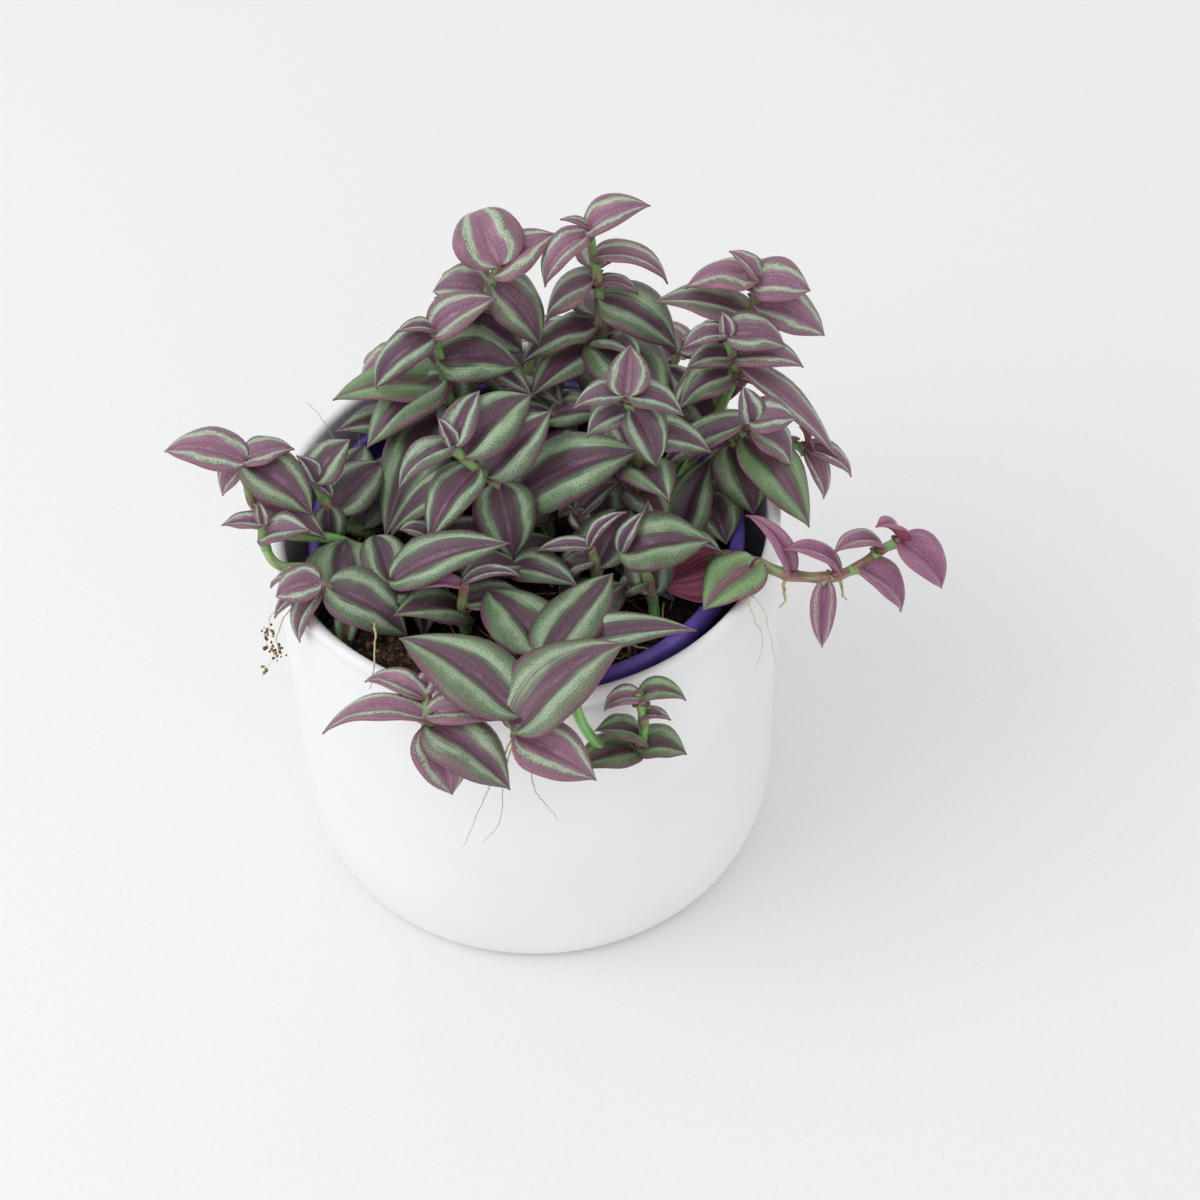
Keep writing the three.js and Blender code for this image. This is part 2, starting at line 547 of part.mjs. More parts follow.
// The blade: an arched sheet, folded along its midrib, from its root in the stem to its pointed tip.
// "more" makes it thicker and wider all over, and "from" leaves out the part nearest the stem.
function bladeSolid({ root, tip, width, roll, arch }, more = 0, from = 0) {
  const all = STATIONS.find((size) => width <= size.upTo).shares;
  const stations = all.filter((share) => share >= from);
  const chord = tip.clone().sub(root);
  const half = chord.length() / 2;
  chord.normalize();
  const level = chord.clone().cross(new THREE.Vector3(0, 0, 1)).normalize();
  const side = level.applyAxisAngle(chord, radians(roll));
  const up = side.clone().cross(chord);
  const turn = radians(arch);
  const fold = foldOf(width);
  const thickness = BLADE_THICKNESS / 2 + more;
  const corners = [];
  const rows = [];
  for (const share of stations) {
    const angle = turn * (share - 0.5);
    const along = half * (1 + Math.sin(angle) / Math.sin(turn / 2));
    const above = (half * (Math.cos(angle) - Math.cos(turn / 2))) / Math.sin(turn / 2);
    const middle = root.clone().addScaledVector(chord, along).addScaledVector(up, above);
    const normal = up.clone().multiplyScalar(Math.cos(angle)).addScaledVector(chord, Math.sin(angle));
    const reach = (width / 2) * outline(share) + more;
    const columns = share === 0 || share === 1 ? [0] : [-1, 0, 1];
    for (const face of [1, -1]) {
      for (const column of columns) {
        corners.push(
          middle
            .clone()
            .addScaledVector(side, column * reach * Math.cos(fold))
            .addScaledVector(normal, Math.abs(column) * reach * Math.sin(fold) + face * thickness),
        );
      }
    }
    const first = corners.length - 2 * columns.length;
    const spread = columns.length === 1 ? [0, 0, 0] : [0, 1, 2];
    rows.push({
      top: spread.map((k) => first + k),
      under: spread.map((k) => first + columns.length + k),
    });
  }
  // A row at a pointed end has one corner for all three columns, so some triangles there vanish.
  const triangles = [];
  const quad = (a, b, c, d) => {
    for (const t of [[a, b, c], [a, c, d]]) if (new Set(t).size === 3) triangles.push(t);
  };
  rows.forEach((a, i) => {
    if (i === 0) for (const k of [0, 1]) quad(a.top[k], a.under[k], a.under[k + 1], a.top[k + 1]);
    if (i === rows.length - 1) return;
    const b = rows[i + 1];
    for (const k of [0, 1]) {
      quad(a.top[k], a.top[k + 1], b.top[k + 1], b.top[k]);
      quad(a.under[k], b.under[k], b.under[k + 1], a.under[k + 1]);
    }
    quad(a.top[0], b.top[0], b.under[0], a.under[0]);
    quad(a.top[2], a.under[2], b.under[2], b.top[2]);
  });
  return solidFrom(corners, triangles);
}

// The listed leaves of a shoot.
function listedLeaves({ stem, leaves }) {
  return leaves.map(([place, x, y, z, width, roll = 0, arch = BLADE_ARCH]) => ({
    root: onStem(stem, place),
    tip: new THREE.Vector3(x, y, z),
    width,
    roll,
    arch,
  }));
}

// Its further leaves, which go to and fro up the lower stem.
function furtherLeaves({ stem, more }, random) {
  const start = 360 * random();
  return Array.from({ length: more }, (_, i) => {
    const root = onStem(stem, 1.4 + (1.2 * i) / Math.max(more, 2));
    const bearing = radians(start + 180 * i + 50 * random());
    const length = 20 + 9 * random();
    const rise = 1 + 9 * random();
    const tip = new THREE.Vector3(length * Math.cos(bearing), length * Math.sin(bearing), rise).add(root);
    return { root, tip, width: 13 + 4 * random(), roll: 0, arch: BLADE_ARCH };
  });
}

function meet(a, b) {
  const [p, q] = [a.boundingBox(), b.boundingBox()];
  if ([0, 1, 2].some((k) => p.min[k] > q.max[k] || q.min[k] > p.max[k])) return false;
  return !a.intersect(b).isEmpty();
}

// Bends a blade clear of everything that isn't its own stem, and gives nothing if no bend does.
function bentClear(leaf, others, own) {
  for (const bend of BENDS) {
    const bent = { ...leaf, tip: bentTip(leaf.root, leaf.tip, bend) };
    const wide = bladeSolid(bent, CLEARANCE);
    if (others.some((other) => meet(wide, other))) continue;
    const free = bladeSolid(bent, 0, FREE_FROM);
    if (own.some((other) => meet(free, other))) continue;
    return bladeSolid(bent);
  }
  return null;
}

const group = new THREE.Group();
const pot = solidFromGeometry(cachepot());
const nursery = solidFromGeometry(nurseryPot());
let soil = soilBody();

// All stems stand before the first leaf, so that every leaf keeps clear of every stem.
const stems = SHOOTS.map((shoot) => stemSolid(shoot.stem));
for (const shoot of SHOOTS) soil = soil.subtract(holeSolid(shoot.stem));

// The listed leaves come first on every shoot, and the further ones fill what room is left.
const random = randomFrom(2011);
const blades = SHOOTS.map(() => []);
for (const kind of [listedLeaves, furtherLeaves]) {
  SHOOTS.forEach((shoot, index) => {
    const others = [pot, nursery, soil];
    others.push(...stems.filter((_, i) => i !== index), ...blades.filter((_, i) => i !== index).flat());
    for (const leaf of kind(shoot, random)) {
      const blade = bentClear(leaf, others, blades[index]);
      if (blade) blades[index].push(blade);
    }
  });
}

SHOOTS.forEach((shoot, index) => {
  const solid = wasm.Manifold.union([stems[index], ...blades[index]]);
  group.add(meshFrom(shoot.name, solid, index % 2 ? MATERIALS.purpleLeaf : MATERIALS.leaf));
});

group.add(meshFrom("cachepot", pot, MATERIALS.ceramic));
group.add(meshFrom("nursery_pot", nursery, MATERIALS.plastic));
group.add(meshFrom("soil", soil, MATERIALS.soil));

export default group;
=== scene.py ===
"""Potted tradescantia: a white glazed cachepot, a purple nursery pot in it, peaty soil, and leafy
stems with striped leaves. Lengths in the tables are millimetres; Blender's own are metres."""

import math
import random
from itertools import accumulate, product

import bpy
import numpy as np
from mathutils import Matrix, Vector, kdtree, noise


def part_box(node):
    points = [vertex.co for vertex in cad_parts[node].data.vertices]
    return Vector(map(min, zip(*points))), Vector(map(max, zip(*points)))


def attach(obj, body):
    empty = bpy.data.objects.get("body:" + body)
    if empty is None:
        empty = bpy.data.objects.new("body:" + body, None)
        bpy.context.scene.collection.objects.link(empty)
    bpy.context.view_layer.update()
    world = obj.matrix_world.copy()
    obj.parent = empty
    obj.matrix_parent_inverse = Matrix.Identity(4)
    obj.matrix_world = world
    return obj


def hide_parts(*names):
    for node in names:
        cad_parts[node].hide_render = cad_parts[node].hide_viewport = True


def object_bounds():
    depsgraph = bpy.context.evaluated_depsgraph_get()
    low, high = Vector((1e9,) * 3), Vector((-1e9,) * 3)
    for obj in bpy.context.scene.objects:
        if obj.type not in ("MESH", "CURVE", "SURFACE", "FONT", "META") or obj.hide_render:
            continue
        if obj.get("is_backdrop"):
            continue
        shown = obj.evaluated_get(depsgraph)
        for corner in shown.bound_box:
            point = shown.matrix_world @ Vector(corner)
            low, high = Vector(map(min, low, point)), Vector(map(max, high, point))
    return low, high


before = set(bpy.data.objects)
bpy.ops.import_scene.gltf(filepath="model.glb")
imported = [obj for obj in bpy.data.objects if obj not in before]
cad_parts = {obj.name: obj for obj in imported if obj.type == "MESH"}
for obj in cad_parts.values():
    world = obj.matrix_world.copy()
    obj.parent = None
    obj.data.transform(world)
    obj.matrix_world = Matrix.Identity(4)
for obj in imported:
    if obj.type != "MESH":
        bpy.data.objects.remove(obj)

cad_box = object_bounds()

MM = 0.001

# The pots and the soil: the sizes that the solids' own boxes don't give.
GAP = 0.3  # between the nursery pot's wall and the soil's edge
POT_WALL = 3.7
POT_FLOOR = 5
POT_FOOT_RADIUS = 62  # the flat it stands on
POT_CORNER_HEIGHT = 25  # where the rounded foot meets the wall
POT_CORNER_RADIUS = 69.4  # outside radius there
POT_CORNER_POWER = 2.3  # 2 would be a plain quarter of an ellipse
POT_SIDES = 160
NURSERY_RIM_HEIGHT = 5
NURSERY_RIM_WIDTH = 4
NURSERY_RIM_ROLL = 1.5
NURSERY_FOOT_RADIUS = 45
NURSERY_WALL = 1.4
NURSERY_SIDES = 120
SOIL_EDGE_HEIGHT = 101.5  # its level at the nursery pot's wall
SOIL_CROWN = 3  # how much higher it stands in the middle
SOIL_LUMP = 0.9
SOIL_FOOT_GAP = 0.4
SOIL_RINGS = 46
SOIL_SPOKES = 120
LOOSE_CRUMBS = 900
SPILT_CRUMBS = 800
FIBRES = 230
FIBRE_STEPS = 5

# How the plant grows: the same rules and the same routes as in the solids.
STEM_RADIUS = 1.8  # at the soil
STEM_TIP_RADIUS = 1.05  # below the youngest leaf
BLADE_THICKNESS = 0.8  # of the solids' blades, whose tips show how far each one was bent
BLADE_WIDEST = 0.62  # power that puts a blade's widest place a third of the way along
BLADE_ARCH = 58  # degrees that a blade turns through from root to tip
LIFTS = (0, 6, -6, 12, -12, 18, -18, 25, -25, 33, -33, 42)
TURNS = (0, 7, -7, 14, -14, 22, -22, 32, -32)
SIZES = (1, 0.85)
STEEPEST = math.radians(80)
SAME_PLACE = 0.06  # how near a blade's worked-out tip lies to the solid's corner

# The finer plant.
LEAF_ROWS = 18
LEAF_COLUMNS = 12
LEAF_THICKNESS = 0.55
STEM_SIDES = 12
STEM_STEPS = 7  # rings for each stretch of a stem's route
NODE_LENGTH = 2.2  # how far a stem's swelling at a leaf reaches
SHEATH_SIDES = 12
SHEATH_STEPS = 7
SHEATH_THICKNESS = 0.2
SHEATHED_WIDTH = 7  # the narrowest leaf whose sheath shows
ROOT_SIDES = 6
ROOT_STEPS = 5
FIBRE_SIDES = 5
LUMP_SIDES = 6

# How purple a stem is between its leaves, and the stems where that differs.
USUAL_FLUSH = 0.12
STEM_FLUSH = {"shoot_right_trailing": 0.36, "shoot_front_right": 0}

# Each stem's route, its leaves as (place on the route, tip x, y, z, width, roll, arch), and how
# many further leaves its lower stem carries. Roll and arch are degrees, and where they are left
# out, 0 and BLADE_ARCH.
SHOOTS = {
    "shoot_front": (
        [(6, -36, 94), (6, -39, 106), (4, -48, 117), (3, -58, 122), (-2, -74, 124.5),
         (-6, -84, 122)],
        [(4.5, -35, -52, 126, 24, 8), (4.9, 24, -63, 131, 25, -6), (5, 14, -93, 113, 17, 12, 40),
         (3, -12, -33, 122, 23, 10, 45), (3, 43, -54, 124, 14, 0, 45),
         (3.2, 22.5, -34, 123.5, 18, 0, 45)],
        1,
    ),
    "shoot_front_left": (
        [(-24, -38, 94), (-25, -41, 106), (-26, -51, 117.5), (-28, -64, 122.5), (-28, -74, 123.5),
         (-28, -79, 122)],
        [(4.7, -55, -78, 120, 14, 18, 80), (5, -8, -92, 110, 19, 0, 70), (4.9, -23, -89, 106, 16),
         (4.4, -9, -79, 118, 12), (3.7, -44, -62, 121, 9, 0, 80), (3.4, -25, -66, 129, 8)],
        0,
    ),
    "shoot_centre_left": (
        [(8, 4, 94), (6, 4, 106), (3, 1, 119), (-5, -5, 131), (-12, -7, 141), (-18, -5, 147.5)],
        [(2.5, 33, -4, 142, 22, 20, 40), (5, -10, 10, 154, 11, 0, 40),
         (5, -33, -12, 140, 13, 10, 75), (5, -22, 1, 153, 6), (4, -26, -22, 130, 15, 0, 60),
         (3.7, 9, 6, 149, 17, 15, 40), (4.5, 8, 8, 148, 19, 5, 65), (3.3, -4, -19, 118, 18, 0, 50),
         (3.6, -38, -5, 113, 16)],
        2,
    ),
    "shoot_centre": (
        [(30, 4, 94), (30, 3, 106), (31, 0, 128), (31, -2, 147), (28, -5, 162)],
        [(4, 30, 7, 170, 12.5, 0, 20), (4, 14, -4, 158, 12, 5, 60), (4, 43, -7, 156, 14, -5, 60),
         (3.6, 35, -12, 143, 14), (3.5, 19, -10, 149, 13), (2.8, 47, -14, 142, 15)],
        5,
    ),
    "shoot_back_centre": (
        [(24, 40, 94), (24, 42, 106), (25, 47, 128), (24, 48, 140), (24, 49, 153), (22, 50, 173)],
        [(5, 39, 51, 180, 13, 10, 75), (5, 14, 50, 178, 5, 0, 30), (4.9, 9, 43, 160, 12, 0, 75),
         (4.5, 43, 46, 156, 11, 0, 95), (4.1, 35, 47, 152, 7, 0, 75), (4.15, 9, 48, 143, 19, 10, 70),
         (3.8, 45, 39, 138, 18, 12, 75), (3, 1, 45, 130, 17, 10, 55), (2.5, 40, 18, 130, 23, 0, 50),
         (2.3, 3, 32, 132, 18, 10, 45), (3.2, 22, 73, 134, 17), (4.3, 24, 68, 152, 13)],
        4,
    ),
    "shoot_back_left": (
        [(-16, 36, 94), (-15, 40, 106), (-14, 47, 126), (-12, 50, 144), (-7, 49, 154),
         (-3, 48, 165)],
        [(5, -8.5, 65, 170, 20, -12, 115), (4.6, 14, 47, 170, 15, 15, 60),
         (4, -22, 52, 153, 17, -12, 80), (4.3, 8, 40, 142, 19, 0, 60), (3, 2, 46, 134, 17, 10),
         (2.9, -22, 58, 146, 15), (3.4, -14, 72, 144, 15), (2.5, -8, 74, 126, 17)],
        3,
    ),
    "shoot_left_back": (
        [(-20, 27, 94), (-20, 29, 106), (-19, 34, 120), (-20, 36, 134), (-21, 36, 144),
         (-22, 36, 152)],
        [(3, -43, 21, 124, 23, 14, 50), (3.8, 1, 34, 139, 20, 14, 70),
         (4.8, -39, 30, 138, 14, -10, 90), (5, -4, 40, 160, 14, 15, 60), (5, -32, 33, 156, 8, 0, 60),
         (2.8, -52, 33, 132, 18), (2.2, -39, -4, 113, 20, 0, 60)],
        4,
    ),
    "shoot_back_right": (
        [(40, 25, 94), (44, 27, 106), (55, 32, 127), (65, 36, 150), (66, 37, 164)],
        [(3.8, 47, 39, 160, 19, 14, 80), (3.8, 81, 34, 161, 16, 14, 75), (4, 59, 40, 172, 9, 0, 40),
         (3.3, 85, 31, 147, 16, 14, 75), (3, 38, 38, 157, 22, 14, 45), (3.5, 66, 58, 152, 14),
         (2.6, 58, 58, 130, 17)],
        3,
    ),
    "shoot_right": (
        [(38, 15, 94), (42, 16, 106), (53, 20, 126), (59, 23, 142), (59, 22, 149), (57, 23, 156)],
        [(5, 73, 22, 152, 14, 12, 75), (5, 45, 22, 153, 11, 8, 70), (5, 56, 27, 162, 6, 0, 30),
         (4, 46, 22, 146, 14, 8, 60), (4, 78, 20, 146, 12, 12, 80), (4.2, 65, 22, 156, 6),
         (3, 44, 19, 134, 19, 14, 55), (3.4, 87, 10, 120, 13.5, -8, 35), (2.9, 68, 26, 132, 11)],
        2,
    ),
    "shoot_right_low": (
        [(40, 10, 94), (43, 11, 106), (51, 13, 118), (57, 9, 130), (60, 5, 138), (62, 3, 143)],
        [(3.6, 77.5, -8, 112, 19, 0, 45), (3, 65, -1, 113, 19, 0, 45), (4.6, 36, 2, 124, 16, 10, 50),
         (4.4, 70, 1, 126, 16, 0, 60), (5, 74, 2, 144, 13, 14, 70), (5, 60, 9, 151, 9, 0, 50),
         (3, 45, 6, 126, 8, 0, 70)],
        1,
    ),
    "shoot_right_small": (
        [(47, 4, 94), (49, 6, 106), (56, 12, 116), (65, 15, 122), (73, 15, 123.5), (78, 13, 122)],
        [(5, 91, 9, 114, 9, 0, 80), (5, 85, 5, 110, 8, 0, 60), (5, 77, 13, 131, 8, 0, 50),
         (4.2, 69, 8, 128, 8, 0, 70)],
        0,
    ),
    "shoot_right_inner": (
        [(46, -4, 94), (47, -4, 106), (49, 0, 112), (50, 3, 116)],
        [(2.7, 54.5, -12, 114, 16, 0, 50), (3, 35, 8, 112, 11, 10, 50)],
        0,
    ),
    "shoot_mid_right": (
        [(33, -29, 94), (33, -28, 106), (31, -27, 119), (25, -25, 125)],
        [(3, 49, -25, 127, 19, 14, 75), (3, 33, -18, 132, 7), (1.7, 23, -29, 110, 10)],
        1,
    ),
    "shoot_right_trailing": (
        [(44, -16, 94), (46, -17, 106), (52, -22, 117), (60, -29, 121.8), (68, -34, 122.2),
         (76, -36, 122.2), (81, -36, 122.5), (87, -35, 124.5), (93, -32, 127), (98, -31, 129)],
        [(3.1, 45, -42, 118, 18, 6, 30), (2.2, 35, -26, 108.5, 20, 180, 20),
         (4.1, 58, -21, 132, 7, 0, 110), (6, 66, -33, 129, 11, 14, 80),
         (5.4, 77, -44, 103, 8, 0, 30), (8, 80, -35, 130, 11, 14, 80), (7, 98, -41, 112, 12, 0, 80),
         (9, 91, -33, 137, 10, 14, 70), (9, 109, -38, 117, 13, 10, 75)],
        0,
    ),
    "shoot_front_right": (
        [(16, -38, 94), (16, -41, 106), (13, -51, 115), (10, -61, 119.8), (9, -69, 121),
         (12, -75.5, 113), (19, -77, 103), (25, -75.5, 102.5), (27, -74, 110), (26.5, -73.5, 118),
         (26, -73, 123)],
        [(9.3, 38, -75, 121, 9, 0, 110), (9.4, 17, -75, 119, 8, 0, 110), (7, 8, -83, 106, 14, 0, 50),
         (7.4, 14, -78, 115, 12, 0, 60), (7.2, 38, -78, 103, 13, 0, 60),
         (8.3, 34, -77, 116, 6, 0, 90)],
        0,
    ),
    "shoot_left_trailing": (
        [(-42, -2, 94), (-44, -3, 106), (-52, -6, 117), (-65, -8, 122.3), (-71, -5, 127),
         (-74, -1, 132), (-74, 2, 140)],
        [(6, -96, 7, 141, 14, -14, 75), (6, -81, -2, 132, 10, 0, 40), (6, -57, -8, 128, 17, 8, 60),
         (4.6, -54, -9, 120, 12, 8), (6, -61, 4, 136, 12, 0, 60)],
        0,
    ),
    "shoot_left": (
        [(-43, -13, 94), (-45, -14, 106), (-53, -17, 117), (-66, -20, 122.3), (-70, -16, 127),
         (-70, -13, 131)],
        [(5, -81, -13, 132, 8, 0, 30), (4.2, -58, -10, 132, 13, 0, 50), (5, -71, -8, 135, 5)],
        0,
    ),
    "shoot_left_front": (
        [(-37, -26, 94), (-39, -28, 106), (-43, -31, 113), (-48, -31, 119), (-52, -31, 123.5),
         (-55, -32, 127)],
        [(4.3, -32, -38, 113, 18, 10, 65), (3.2, -49, -6, 117, 24, 0, 35),
         (5, -67, -33, 124, 13, -10, 75), (5, -68, -35, 118, 8), (4.8, -72, -19, 121, 9),
         (4.6, -62, -37, 110, 10), (2.8, -50, -40, 108, 8)],
        1,
    ),
    "shoot_left_inner": (
        [(-42, 8, 94), (-44, 6, 106), (-50, 2, 114), (-54, 2, 123), (-56, 3, 130)],
        [(4, -46, 12, 137, 14, 0, 45), (4, -61, 8, 136, 7, 0, 40), (4, -52, 0, 127, 6),
         (2.6, -38, 18, 120, 16, 10, 50), (2.9, -57, -9, 113, 11)],
        3,
    ),
    "shoot_front_inner": (
        [(-18, -28, 94), (-18, -31, 106), (-18, -36, 120), (-17, -36, 128)],
        [(2.7, -30, -37, 128, 6, 0, 60), (2.9, -2, -35, 128, 6, 0, 90)],
        2,
    ),
    "shoot_mid_left": (
        [(-34, -18, 94), (-35, -20, 106), (-38, -28, 117), (-36, -30, 124)],
        [(3, -2, -31, 130, 16, 12, 45), (2.4, -20, -30, 112, 15, 10), (2.7, -44, -10, 118, 14)],
        2,
    ),
    "shoot_small_left": (
        [(-26, -8, 94), (-26, -9, 106), (-26, -12, 117), (-27, -14, 123)],
        [(3, -34, -13, 127, 9, 0, 90), (3, -32, -20, 118, 7), (2.8, -20, -8, 124, 8),
         (2.3, -3, -12, 118, 13)],
        2,
    ),
    "shoot_mid": (
        [(18, -22, 94), (18, -23, 106), (18, -24, 118), (17, -24, 126)],
        [(3, 27, -20, 135, 6, 0, 80), (3, 2, -22, 124, 7, 0, 40), (2.3, 8, -26, 114, 9, 0, 90)],
        2,
    ),
    "shoot_mid_back": (
        [(28, -10, 94), (26, -9, 106), (20, -8, 117), (13, -7, 123)],
        [(3, 16, -12, 118, 8), (2.7, 26, 0, 126, 9), (3, 9, -7, 121, 6), (1.9, 8, -21, 104, 11)],
        4,
    ),
    "shoot_back_inner": (
        [(5, 21, 94), (5, 23, 106), (7, 28, 116), (9, 31, 122)],
        [(3, -8, 24, 124, 14), (3, 25, 28, 125, 15), (2.8, 8, 9, 122, 15), (2.3, 20, 46, 118, 15),
         (2.3, -6, 44, 119, 14)],
        1,
    ),
    "shoot_low_centre": (
        [(-8, -12, 94), (-8, -13, 106), (-6, -18, 113), (-4, -22, 118)],
        [(3, 14, -30, 120, 14), (3, -20, -34, 118, 13), (2.4, -22, -12, 116, 14),
         (2.2, 12, -12, 114, 14)],
        1,
    ),
    "shoot_low_right": (
        [(38, -9, 94), (38, -10, 106), (40, -13, 112), (41, -15, 117)],
        [(3, 28, -20, 119, 13), (2.4, 27, -2, 115, 13), (3, 52, -22, 115, 8, 0, 80)],
        1,
    ),
    "shoot_rear_left": (
        [(-26, 31, 94), (-27, 35, 106), (-28, 46, 117), (-30, 57, 122.5), (-32, 66, 119)],
        [(4, -42, 78, 102, 16), (4, -18, 82, 106, 15), (3.3, -46, 60, 112, 15),
         (2.8, -14, 62, 122, 16)],
        2,
    ),
    "shoot_rear_right": (
        [(28, 28, 94), (32, 33, 106), (40, 44, 117), (46, 54, 122.5), (49, 62, 117)],
        [(4, 58, 72, 102, 16), (4, 36, 76, 108, 15), (3.2, 66, 54, 118, 15), (2.8, 30, 66, 122, 16)],
        2,
    ),
    "shoot_rear": (
        [(2, 42, 94), (2, 45, 106), (3, 54, 116.5), (5, 64, 121.8), (5, 74, 118), (4, 78, 108)],
        [(5, 2, 90, 92, 14), (4.6, 22, 84, 106, 15), (4.2, -14, 80, 112, 15)],
        2,
    ),
}

# Leaves that have turned, by stem and place on it: how far to plain green, and how far to magenta.
TURNED = {
    ("shoot_right_trailing", 3.1): (1, 0),
    ("shoot_right_trailing", 4.1): (0, 1),
    ("shoot_right_trailing", 5.4): (0, 0.5),
    ("shoot_right_trailing", 6): (0, 0.9),
    ("shoot_right_trailing", 7): (0, 0.8),
    ("shoot_right_trailing", 8): (0, 0.5),
    ("shoot_right_trailing", 9): (0, 1),
    ("shoot_front_inner", 2.7): (0, 1),
    ("shoot_front_right", 9.3): (0.4, 0),
    ("shoot_front_right", 7.4): (0.2, 0),
    ("shoot_front_right", 7.2): (0.2, 0),
    ("shoot_front_right", 7): (0.2, 0),
    ("shoot_left_back", 2.8): (0.8, 0),
    ("shoot_right_low", 3.6): (0.6, 0),
    ("shoot_left_front", 2.8): (0.6, 0),
}

# A leaf's stripes, from its midrib at 0 to its margin at 1.
STRIPES = {
    "young": [
        (0.0, "#8a6079"), (0.05, "#6a4d60"), (0.32, "#725669"), (0.4, "#60585a"),
        (0.46, "#a0ac9f"), (0.57, "#b5bfb1"), (0.66, "#a1ac9d"), (0.72, "#65725f"),
        (0.8, "#5c5e57"), (0.87, "#694e5e"), (1.0, "#775567"),
    ],
    "old": [
        (0.0, "#7c536f"), (0.03, "#5c3f4f"), (0.24, "#5c3d4f"), (0.3, "#4f5146"),
        (0.36, "#55694d"), (0.42, "#7b9370"), (0.5, "#95a88b"), (0.6, "#8fa386"),
        (0.68, "#6f8866"), (0.78, "#5d7352"), (0.89, "#59654d"), (0.94, "#6b4757"),
    ],
    # Where the sun reaches it most, purple takes over all but a line of silver. These colours are also
    # lighter, as painted light on the leaves that stand high on the crown.
    "sunned_painted_light": [
        (0.0, "#aa8298"), (0.07, "#8b6278"), (0.41, "#966c82"), (0.46, "#8f8c81"),
        (0.51, "#afbda7"), (0.63, "#a6b59d"), (0.69, "#75776a"), (0.77, "#865f71"),
        (1.0, "#936579"),
    ],
    # Beyond that it is magenta nearly all over.
    "magenta": [
        (0.0, "#a9728f"), (0.06, "#8d5579"), (0.45, "#96607f"), (0.58, "#997686"),
        (0.68, "#8f5f7a"), (1.0, "#9c6484"),
    ],
    # Deep in the crown there is less purple, and the silver is hardly paler than the green. These
    # colours are also darker, as painted shade.
    "shade_grown_painted_shade": [
        (0.0, "#5b4a54"), (0.05, "#45313d"), (0.24, "#43303b"), (0.32, "#435039"),
        (0.44, "#6b7e61"), (0.54, "#7b8d70"), (0.66, "#556a4a"), (0.8, "#43573a"),
        (0.9, "#42553a"), (0.95, "#583a48"),
    ],
    # The oldest leaves lose their silver and turn a plain green round a wine red midrib.
    "plain": [
        (0.0, "#8a5c6c"), (0.08, "#7a5160"), (0.2, "#71705a"), (0.34, "#6f9060"),
        (0.6, "#7f9f6f"), (0.84, "#6b8b5b"), (0.93, "#7b5a5c"),
    ],
}


def hex_colour(text):
    """An sRGB hex colour as Blender's linear red, green, blue and alpha."""
    parts = [int(text[i : i + 2], 16) / 255 for i in (1, 3, 5)]
    return (*(p / 12.92 if p <= 0.04045 else ((p + 0.055) / 1.055) ** 2.4 for p in parts), 1)


def add(tree, kind, inputs=(), stops=(), **settings):
    """One node with its settings. Its inputs come by name or in order. Each is a value, an output
    that is linked to it, or a node whose first output is. Stops are a ramp's places and colours."""
    made = tree.nodes.new("ShaderNode" + kind)
    for name, value in settings.items():
        setattr(made, name, value)
    for name, value in inputs.items() if isinstance(inputs, dict) else enumerate(inputs):
        if isinstance(value, bpy.types.Node):
            value = value.outputs[0]
        if isinstance(value, bpy.types.NodeSocket):
            tree.links.new(value, made.inputs[name])
        else:
            made.inputs[name].default_value = value
    if stops:
        ramp = made.color_ramp.elements
        while len(ramp) < len(stops):
            ramp.new(0.5)
        for element, (place, colour) in zip(ramp, stops):
            element.position = place
            element.color = hex_colour(colour)
    return made


def finish_of(build):
    """A material with build's own name, whose shader has the inputs that build makes."""
    material = bpy.data.materials.new(build.__name__)
    material.use_nodes = True
    tree = material.node_tree
    tree.nodes.clear()
    shader = add(tree, "BsdfPrincipled", build(tree))
    add(tree, "OutputMaterial", [shader])
    return material


def stoneware_white_glaze(tree):
    # Slip-cast stoneware under a white glaze: a soft even gloss that the kiln left barely uneven.
    at = add(tree, "TexCoord").outputs["Object"]
    pooling = add(tree, "TexNoise", {"Vector": at, "Scale": 1 / (40 * MM), "Detail": 2})
    tone = add(tree, "ValToRGB", [pooling], stops=[(0.3, "#eeeff1"), (0.7, "#f3f4f5")])
    ripple = add(tree, "TexNoise", {"Vector": at, "Scale": 1 / (25 * MM), "Detail": 1})
    gloss = add(tree, "MapRange", [ripple, 0.3, 0.7, 0.28, 0.34])
    bump = add(tree, "Bump", {"Height": ripple, "Strength": 0.1, "Distance": 0.15 * MM})
    return {"Base Color": tone, "Roughness": gloss, "IOR": 1.52, "Normal": bump}


def moulded_purple_polypropylene(tree):
    # Thin injection-moulded polypropylene, dyed through: a waxy sheen and faint scuffs.
    at = add(tree, "TexCoord").outputs["Object"]
    cloud = add(tree, "TexNoise", {"Vector": at, "Scale": 1 / (6 * MM), "Detail": 4})
    dye = [(0.3, "#503d99"), (0.55, "#644fab"), (0.75, "#7763ba")]
    tone = add(tree, "ValToRGB", [cloud], stops=dye)
    scuff = add(tree, "TexNoise", {"Vector": at, "Scale": 1 / (0.8 * MM), "Detail": 3})
    dull = add(tree, "MapRange", [scuff, 0.35, 0.7, 0.3, 0.5])
    bump = add(tree, "Bump", {"Height": scuff, "Strength": 0.15, "Distance": 0.1 * MM})
    return {"Base Color": tone, "Roughness": dull, "IOR": 1.49, "Normal": bump}


